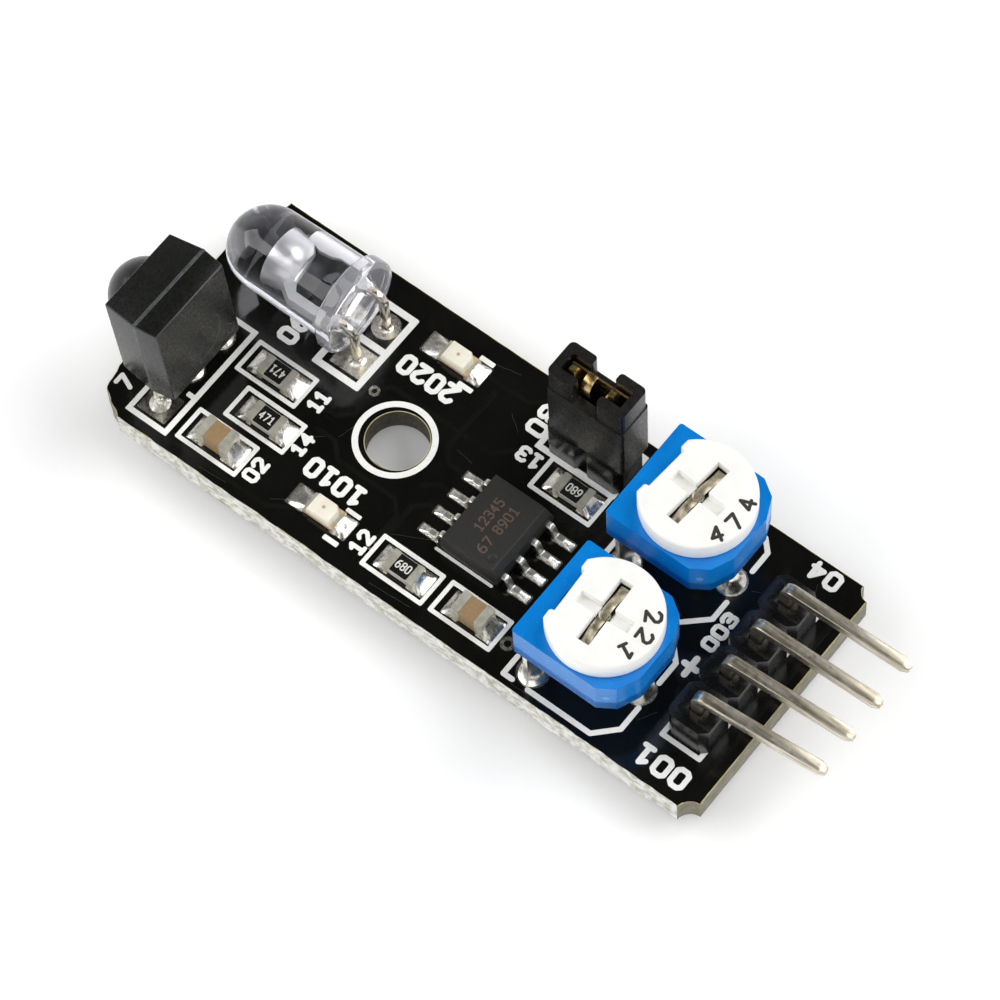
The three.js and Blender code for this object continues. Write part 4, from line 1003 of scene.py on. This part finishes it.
# ------------------------------------------------------------------ moulded pin strips
def strip(cx, cy, cells, pitch, width, corner, z0, z1, along_y, holes, hole_half):
    half = cells * pitch / 2
    side = []
    for i in range(cells):
        a = -half + i * pitch
        side += [(a + 0.03, width / 2 - corner), (a + corner, width / 2), (a + pitch - corner, width / 2), (a + pitch - 0.03, width / 2 - corner)]
    pts = side + [(a, -b) for a, b in side[::-1]]
    world = [((cx + b, cy + a) if along_y else (cx + a, cy - b)) for a, b in pts]
    area = sum(world[i][0] * world[(i + 1) % len(world)][1] - world[(i + 1) % len(world)][0] * world[i][1] for i in range(len(world)))
    if area < 0:
        world = world[::-1]
    g = Geo()
    g.prism(round_poly(world, 0.07, 3), z0, z1, [rrect(2 * hole_half, 2 * hole_half, 0.04, 2, x, y) for x, y in holes])
    return g


g = strip(37.72, 8.1, 4, 2.54, 2.54, 0.42, 0.03, 2.5, True, PINS_H, 0.38)
# feet gap: standoff ribs under each cell are suggested by a dark seam near the board
piece("header_moulding", g, NYLON, replaces=["pin_header_housing"], merge=0.0005, bev=(0.05, 2, 40), sharp=32)
g = strip(23.85, 13.6, 2, 2.54, 2.5, 0.42, 0.03, 2.5, False, PINS_J, 0.35)
piece("jumper_moulding", g, NYLON, replaces=["jumper_header_base"], merge=0.0005, bev=(0.05, 2, 40), sharp=32)

SKEW = [4.0, 2.7, 1.0, 1.0]
for i, (x, y) in enumerate(PINS_H):
    r = 0.43
    zc = 3.83
    reach = 45.4 - x
    path = [(0, 0, -2.9), (0, 0, -2.65), (0, 0, 0.0), (0, 0, zc - r - 0.3), (0, 0, zc - r)]
    path += [(r - r * cos(rad(a)), 0, zc - r + r * sin(rad(a))) for a in range(12, 91, 13)]
    path += [(r + 0.1, 0, zc), (reach * 0.5, 0, zc), (reach - 0.42, 0, zc), (reach - 0.08, 0, zc), (reach, 0, zc)]
    sc = [0.6] + [1.0] * (len(path) - 4) + [1.0, 0.66, 0.5]
    g = Geo()
    g.sweep(path, rrect(0.64, 0.64, 0.055, 3), (0, 1, 0), scale=sc)
    piece(f"header_square_pin_{i + 1}", g, PIN, replaces=[f"pin_header_pin_{i + 1}"], M=T((x, y, 0)) @ rot(SKEW[i]), sharp=30)
for i, (x, y) in enumerate(PINS_J):
    g = Geo()
    g.sweep([(x, y, -2.9), (x, y, -2.65), (x, y, 0), (x, y, 8.12), (x, y, 8.40), (x, y, 8.45)], rrect(0.64, 0.64, 0.05, 3), (0, 1, 0), scale=[0.6, 1, 1, 1, 0.66, 0.56])
    piece(f"jumper_square_pin_{i + 1}", g, BRASS, replaces=[f"jumper_pin_{i + 1}"], sharp=30)

# ------------------------------------------------------------------ jumper shunt
JX, JY = 23.85 + 0.2, 13.6 + 0.07
hx, hy = 2.5, 1.175
g = Geo()
outer = round_poly([(JX - hx, JY - hy), (JX + hx, JY - hy), (JX + hx, JY + hy), (JX - hx, JY + hy)], 0.22, 4)
slot_ = rrect(3.9, 1.1, 0.1, 2, JX, JY)
g.prism(outer, 2.55, 6.95, [slot_])
for s in (-1, 1):
    xo, xi = JX + s * (hx - 0.05), JX + s * 0.75
    xs = JX + s * 1.95
    pts = [(xi, JY - hy + 0.05), (xo, JY - hy + 0.05), (xo, JY + hy - 0.05), (xi, JY + hy - 0.05), (xi, JY + 0.55), (xs, JY + 0.55), (xs, JY - 0.55), (xi, JY - 0.55)]
    if s < 0:
        pts = pts[::-1]
    g.prism(round_poly(pts, [0.2, 0.3, 0.3, 0.2, 0.12, 0.06, 0.06, 0.12] if s > 0 else [0.12, 0.06, 0.06, 0.12, 0.2, 0.3, 0.3, 0.2], 4), 6.9, 8.65)
piece("shunt_moulding", g, SHUNT, body="jumper_shunt", replaces=["jumper_cap"], bev=(0.13, 3, 40), sharp=35)
g = Geo()
yc = 13.6
plate = [(23.85 - 1.62, yc + 0.38), (23.85 + 1.98, yc + 0.38), (23.85 + 1.98, yc + 0.5), (23.85 - 1.62, yc + 0.5)]
g.prism(plate, 3.0, 8.1)
tongue = []
for i in range(13):
    u = i / 12
    tongue.append((23.85 - 0.30 + 0.05 * u, yc + 0.44 - 0.78 * sin(u * pi * 0.62), 8.14 - 0.12 * (1 - cos(u * pi * 1.1)) - 0.9 * u ** 3))
g.sweep(tongue, rrect(0.62, 0.1, 0.03, 2), (1, 0, 0))
piece("shunt_contact", g, BRASS, body="jumper_shunt", replaces=["jumper_contact"], bev=(0.02, 1, 40), sharp=35)

# ------------------------------------------------------------------ trimmers
for ti, (name, tx, ty, tb, turn) in enumerate(TRIM):
    HM = T((tx, ty, tb))
    L_, R_, W_, C_, top = -3.56, 3.34, 3.25, 1.5, 2.35
    outline = round_poly([(L_, -W_), (R_ - C_, -W_), (R_ - 0.55, -W_ + 0.62), (R_, -W_ + C_ + 0.35), (R_, W_ - C_ - 0.35), (R_ - 0.55, W_ - 0.62), (R_ - C_, W_), (L_, W_)],
                         [0.16, 0.2, 0.25, 0.2, 0.2, 0.25, 0.2, 0.16], 4)
    g = Geo()
    g.prism(outline, 0.0, top, [circle(0, 0, 2.62, 72)])
    g.prism(outline, 0.0, 0.7, [circle(0, 0, 0.5, 24)])
    # a short stop pip stands on the bore's floor
    g.prism(rrect(0.5, 0.4, 0.08, 2, -2.2, 0.0), 0.65, 1.45)
    hs = piece(name + "_case", g, BLUE, replaces=[name + "_housing"], M=HM, bev=(0.07, 3, 40), sharp=32)
    g = Geo()
    # moulding gate mark on the near right chamfer
    ca, cb = Vector((R_ - C_, -W_, 0)), Vector((R_ - 0.55, -W_ + 0.62, 0))
    d = (cb - ca).normalized()
    nrm = Vector((d.y, -d.x, 0))
    c0 = (ca + cb) / 2 + nrm * 0.002
    n = 20
    for rr, z_in, z_out in ((0.2, -0.01, 0.006),):
        a = [tuple(c0 + d * (rr * cos(2 * pi * i / n)) + Vector((0, 0, 1.2 + rr * sin(2 * pi * i / n))) + nrm * z_in) for i in range(n)]
        b = [tuple(c0 + d * (rr * cos(2 * pi * i / n)) + Vector((0, 0, 1.2 + rr * sin(2 * pi * i / n))) + nrm * z_out) for i in range(n)]
        g.loft([a, b])
    piece(name + "_gate_mark", g, DOT, M=HM)
    g = Geo()
    g.prism(circle(0, 0, 2.48, 64), 0.72, 1.18, [circle(0, 0, 0.62, 24)])
    piece(name + "_track", g, TRACK, replaces=[name + "_element"], M=HM, bev=(0.04, 2, 40))

    # rotor
    RT = HM @ rot(turn)
    db, dt = top + 0.05, top + 1.3
    hb = top - 0.7

    g = Geo()
    # the disc's left flat has an open notch in its middle, so the outline steps in there
    def disc_outline(r, f, fr, nh):
        a0 = math.degrees(math.acos(-f / r))
        pts = arc(0, 0, r, -a0, a0, 96)
        a1 = math.degrees(math.asin(min(1, nh / r)))
        pts += [(-f, nh + 0.12), (-f + 0.1, nh), (-fr, nh), (-fr, -nh), (-f + 0.1, -nh), (-f, -nh - 0.12)]
        return pts
    OR = disc_outline(3.15, 2.45, 2.2, 1.35)
    OR = [p for i, p in enumerate(OR) if i == 0 or math.hypot(p[0] - OR[i - 1][0], p[1] - OR[i - 1][1]) > 0.02]
    # top face with a cross cut: the long slot goes deep, the short one is shallow
    lw, ll, ld = 0.425, 2.05, 0.8
    sw, sl, sd = 0.375, 1.65, 0.52
    cross = [(-lw, -ll), (lw, -ll), (lw, -sw), (sl, -sw), (sl, sw), (lw, sw), (lw, ll), (-lw, ll), (-lw, sw), (-sl, sw), (-sl, -sw), (-lw, -sw)]
    n_o = len(OR)

    def shrink(pts, k):
        return inset(pts, lambda x, y, nx, ny: k)
    edge = [[(x, y, z) for x, y in shrink(OR, k)] for k, z in ((0.05, db), (0.01, db + 0.04), (0.0, db + 0.1), (0.0, dt - 0.17), (0.012, dt - 0.11), (0.045, dt - 0.05), (0.1, dt - 0.012), (0.16, dt))]
    g.loft(edge, cap0=True, cap1=False)
    rim = [(p[0], p[1]) for p in edge[-1]]
    cross_r = round_poly(cross, 0.05, 3)
    flat = rim + cross_r
    o = len(g.v)
    g.add([(x, y, dt) for x, y in flat], [])
    for t in tessellate_polygon([[Vector((x, y, 0)) for x, y in rim], [Vector((x, y, 0)) for x, y in cross_r]]):
        a, b, c = (Vector((*flat[i], 0)) for i in t)
        t = list(t) if (b - a).cross(c - a).z > 0 else list(t)[::-1]
        g.f.append([o + i for i in t]); g.m.append(0)
    # slot walls: rounded lip, then down
    nc = len(cross_r)
    lip = [[(x, y, z) for x, y in inset(cross_r, lambda x, y, nx, ny, k=k: k)] for k, z in ((0.0, dt), (0.02, dt - 0.012), (0.035, dt - 0.04), (0.04, dt - sd))]
    g.loft([r_ for r_ in lip], cap0=False, cap1=False)
    for f in g.f[-(3 * nc):]:
        f.reverse()
    # floors of the short slot arms
    for s in (-1, 1):
        q = [(s * lw * 0.86, -sw, dt - sd), (s * sl, -sw, dt - sd), (s * sl, sw, dt - sd), (s * lw * 0.86, sw, dt - sd)]
        g.add(q, [(0, 1, 2, 3) if s > 0 else (3, 2, 1, 0)])
    # deep well: its walls and floor are near-black, painted shade
    well = rrect(2 * lw - 0.07, 2 * ll - 0.07, 0.06, 3)
    g.loft([[(x, y, dt - sd + 0.02) for x, y in well], [(x, y, dt - ld) for x, y in well]], cap0=False, cap1=True, mat=1)
    for f in g.f[-(len(well) + 1):]:
        f.reverse()
    # hub below
    HR = [(max(x, -2.2), y) for x, y in circle(0, 0, 2.35, 72)]
    g.loft([[(x, y, hb) for x, y in shrink(HR, 0.04)], [(x, y, hb + 0.05) for x, y in HR], [(x, y, db + 0.02) for x, y in HR]], cap0=True, cap1=False)
    body = name + "_dial"
    piece(name + "_knob", g, [WHITE, HOLLOW_SHADE], body=body, replaces=[name + "_rotor"], M=RT, sharp=40)

    # wiper strip: pressed wavy metal in the well, with an eyelet in the middle
    g = Geo()
    zs = dt - ld + 0.05
    path, sc = [], []
    for i in range(41):
        v = -1.93 + 3.86 * i / 40
        wave = 0.26 * cos(v * pi / 3.7) - 0.06 * cos(v * 4.3 + 0.6) + (0.05 if abs(v) < 0.5 else 0.0) * cos(v * pi)
        path.append((-0.04, v, zs + 0.04 + wave))
        sc.append(1.0)
    g.sweep(path, rrect(0.5, 0.07, 0.02, 2), (1, 0, 0))
    eye = [(0.22, zs - 0.1), (0.33, zs + 0.02), (0.34, zs + 0.32), (0.31, zs + 0.37), (0.25, zs + 0.36), (0.215, zs + 0.28), (0.21, zs - 0.1)]
    g.lathe(eye, 32, cap0=False, cap1=False)
    # the eyelet's bore is a near-black solid post: painted shade
    g.prism(circle(0, 0, 0.22, 24), zs - 0.05, zs + 0.30, mat=1)
    g.lathe([(0.42, 0.3), (0.42, hb - 0.02)], 24)
    g.box(-1.9, 0.2, -0.3, 0.3, hb - 0.22, hb - 0.04)
    piece(name + "_strip", g, [WIPER, HOLLOW_SHADE], body=body, replaces=[name + "_wiper"], M=RT, sharp=40)

    # digits on the rotor, round its right-hand side
    g = Geo()
    zd = dt - 0.002
    if ti == 0:
        spots = [((2.17, 1.25), -90 + 30, "2"), ((2.48, 0.11), -90 + 2, "2"), ((2.24, -1.12), -90 - 27, "1")]
    else:
        spots = [((2.18, -1.36), 90 - 32, "4"), ((2.51, -0.22), 90 - 5, "7"), ((2.42, 0.96), 90 + 22, "4")]
    back_turn = rot(-turn)
    for (px, py), a, ch in spots:
        q = back_turn @ Vector((px, py, 0))
        digits(g, ch, q.x, q.y, 0.74, 1.0, a - turn, 0.19, z0=zd, z1=dt + 0.003)
    piece(name + "_digits", g, BLACKINK, body=body, M=RT)

    # legs
    for li, (lx, ly) in enumerate(LEG_OFF):
        g = Geo()
        foot = -2.9 - tb
        w = 0.35
        pts = [(-0.62, -tb + 0.06), (0.62, -tb + 0.06), (0.62, -0.06), (w, -0.06), (w, 0.44), (-w, 0.44), (-w, -0.06), (-0.62, -0.06)]
        pts2 = [(-w, foot), (w, foot), (w, -tb + 0.06), (0.62, -tb + 0.06), (0.62, -0.06), (w, -0.06), (w, 0.44), (-w, 0.44), (-w, -0.06), (-0.62, -0.06), (-0.62, -tb + 0.06), (-w, -tb + 0.06)]
        rp = round_poly(pts2, 0.05, 2)
        g.loft([[(lx - 0.15, ly + a, b) for a, b in rp], [(lx + 0.15, ly + a, b) for a, b in rp]], cap0=True, cap1=True)
        piece(f"{name}_tin_leg_{li + 1}", g, LEADTIN, replaces=[f"{name}_leg_{li + 1}"], M=HM, bev=(0.035, 2, 40), sharp=35, merge=0.0001)
        cone(tx + lx, ty + ly, 0.86, 0.4, PZ, 0.42 if li != 2 else 0.7, seed=ti * 7 + li, wet=1.9, squash=(0.9, 1.0))

# ------------------------------------------------------------------ solder under the board
for k, (x, y) in enumerate(LEGS_R + LEGS_E):
    cone(x, y, 0.8, 0.27, -BT - PZ, -BT - 0.85, seed=30 + k, wet=1.8)
for k, (x, y) in enumerate(LEGS_T + PINS_J + PINS_H):
    cone(x, y, 0.9, 0.36, -BT - PZ, -BT - 0.95, seed=50 + k, wet=1.8)
piece("solder_joints", solder, SOLDER, sharp=60)

# ------------------------------------------------------------------ floor, light, camera
fm = bpy.data.materials.new("floor_paper")
fm.use_nodes = True
fb = fm.node_tree.nodes["Principled BSDF"]
fb.inputs["Base Color"].default_value = (0.97, 0.97, 0.97, 1)
fb.inputs["Roughness"].default_value = 0.9
fb.inputs["Emission Color"].default_value = (1.0, 1.0, 1.0, 1)
fb.inputs["Emission Strength"].default_value = 0.13
fme = bpy.data.meshes.new("floor")
S = 3.0
fme.from_pydata([(-S, -S, -0.00135), (S, -S, -0.00135), (S, S, -0.00135), (-S, S, -0.00135)], [], [(0, 1, 2, 3)])
fme.materials.append(fm)
floor = bpy.data.objects.new("floor", fme)
scene.collection.objects.link(floor)

world = bpy.data.worlds.new("studio")
scene.world = world
world.use_nodes = True
wt = world.node_tree
bg = wt.nodes["Background"]
tc = wt.nodes.new("ShaderNodeTexCoord")
sx = wt.nodes.new("ShaderNodeSeparateXYZ")
wr = wt.nodes.new("ShaderNodeValToRGB")
wt.links.new(tc.outputs["Generated"], sx.inputs[0])
wt.links.new(sx.outputs["Z"], wr.inputs["Fac"])
wt.links.new(wr.outputs["Color"], bg.inputs["Color"])
el = wr.color_ramp.elements
el[0].position = 0.0; el[0].color = (0.95, 0.95, 0.95, 1)
el[1].position = 1.0; el[1].color = (0.02, 0.02, 0.02, 1)
e = el.new(0.35); e.color = (0.75, 0.75, 0.75, 1)
e = el.new(0.7); e.color = (0.08, 0.08, 0.08, 1)
bg.inputs["Strength"].default_value = 0.9


def light(name, az, elev, dist, w, h, power):
    """Area light at an azimuth (degrees from +X, anticlockwise) and elevation, facing the object."""
    d = Vector((cos(rad(az)) * cos(rad(elev)), sin(rad(az)) * cos(rad(elev)), sin(rad(elev))))
    la = bpy.data.lights.new(name, "AREA")
    la.shape = "RECTANGLE"
    la.size, la.size_y = w, h
    la.energy = power
    ob = bpy.data.objects.new(name, la)
    ob.location = d * dist
    ob.rotation_euler = (-d).to_track_quat("-Z", "Y").to_euler()
    scene.collection.objects.link(ob)


light("left_box", 215, 44, 0.8, 0.7, 0.5, 3.0)
light("right_box", 52, 50, 0.9, 0.8, 0.6, 5.1)
light("front_box", -55, 60, 0.9, 0.6, 0.5, 1.5)

AZ, EL, ROLL = rad(41.572), rad(62.966), rad(-4.03)
backv = Vector((sin(AZ) * cos(EL), -cos(AZ) * cos(EL), sin(EL)))
F = -backv
right = Vector((cos(AZ), sin(AZ), 0))
up = right.cross(F)
R = right * cos(ROLL) + up * sin(ROLL)
U = -right * sin(ROLL) + up * cos(ROLL)
cam = bpy.data.cameras.new("camera")
cam.lens = 179.98
cam.sensor_width = 36
cam.clip_start = 0.01
cam.clip_end = 20
co = bpy.data.objects.new("camera", cam)
co.matrix_world = Matrix(((R.x, U.x, -F.x, 0.081022), (R.y, U.y, -F.y, -0.089499), (R.z, U.z, -F.z, 0.237345), (0, 0, 0, 1)))
scene.collection.objects.link(co)
scene.camera = co
scene.view_settings.view_transform = "Standard"
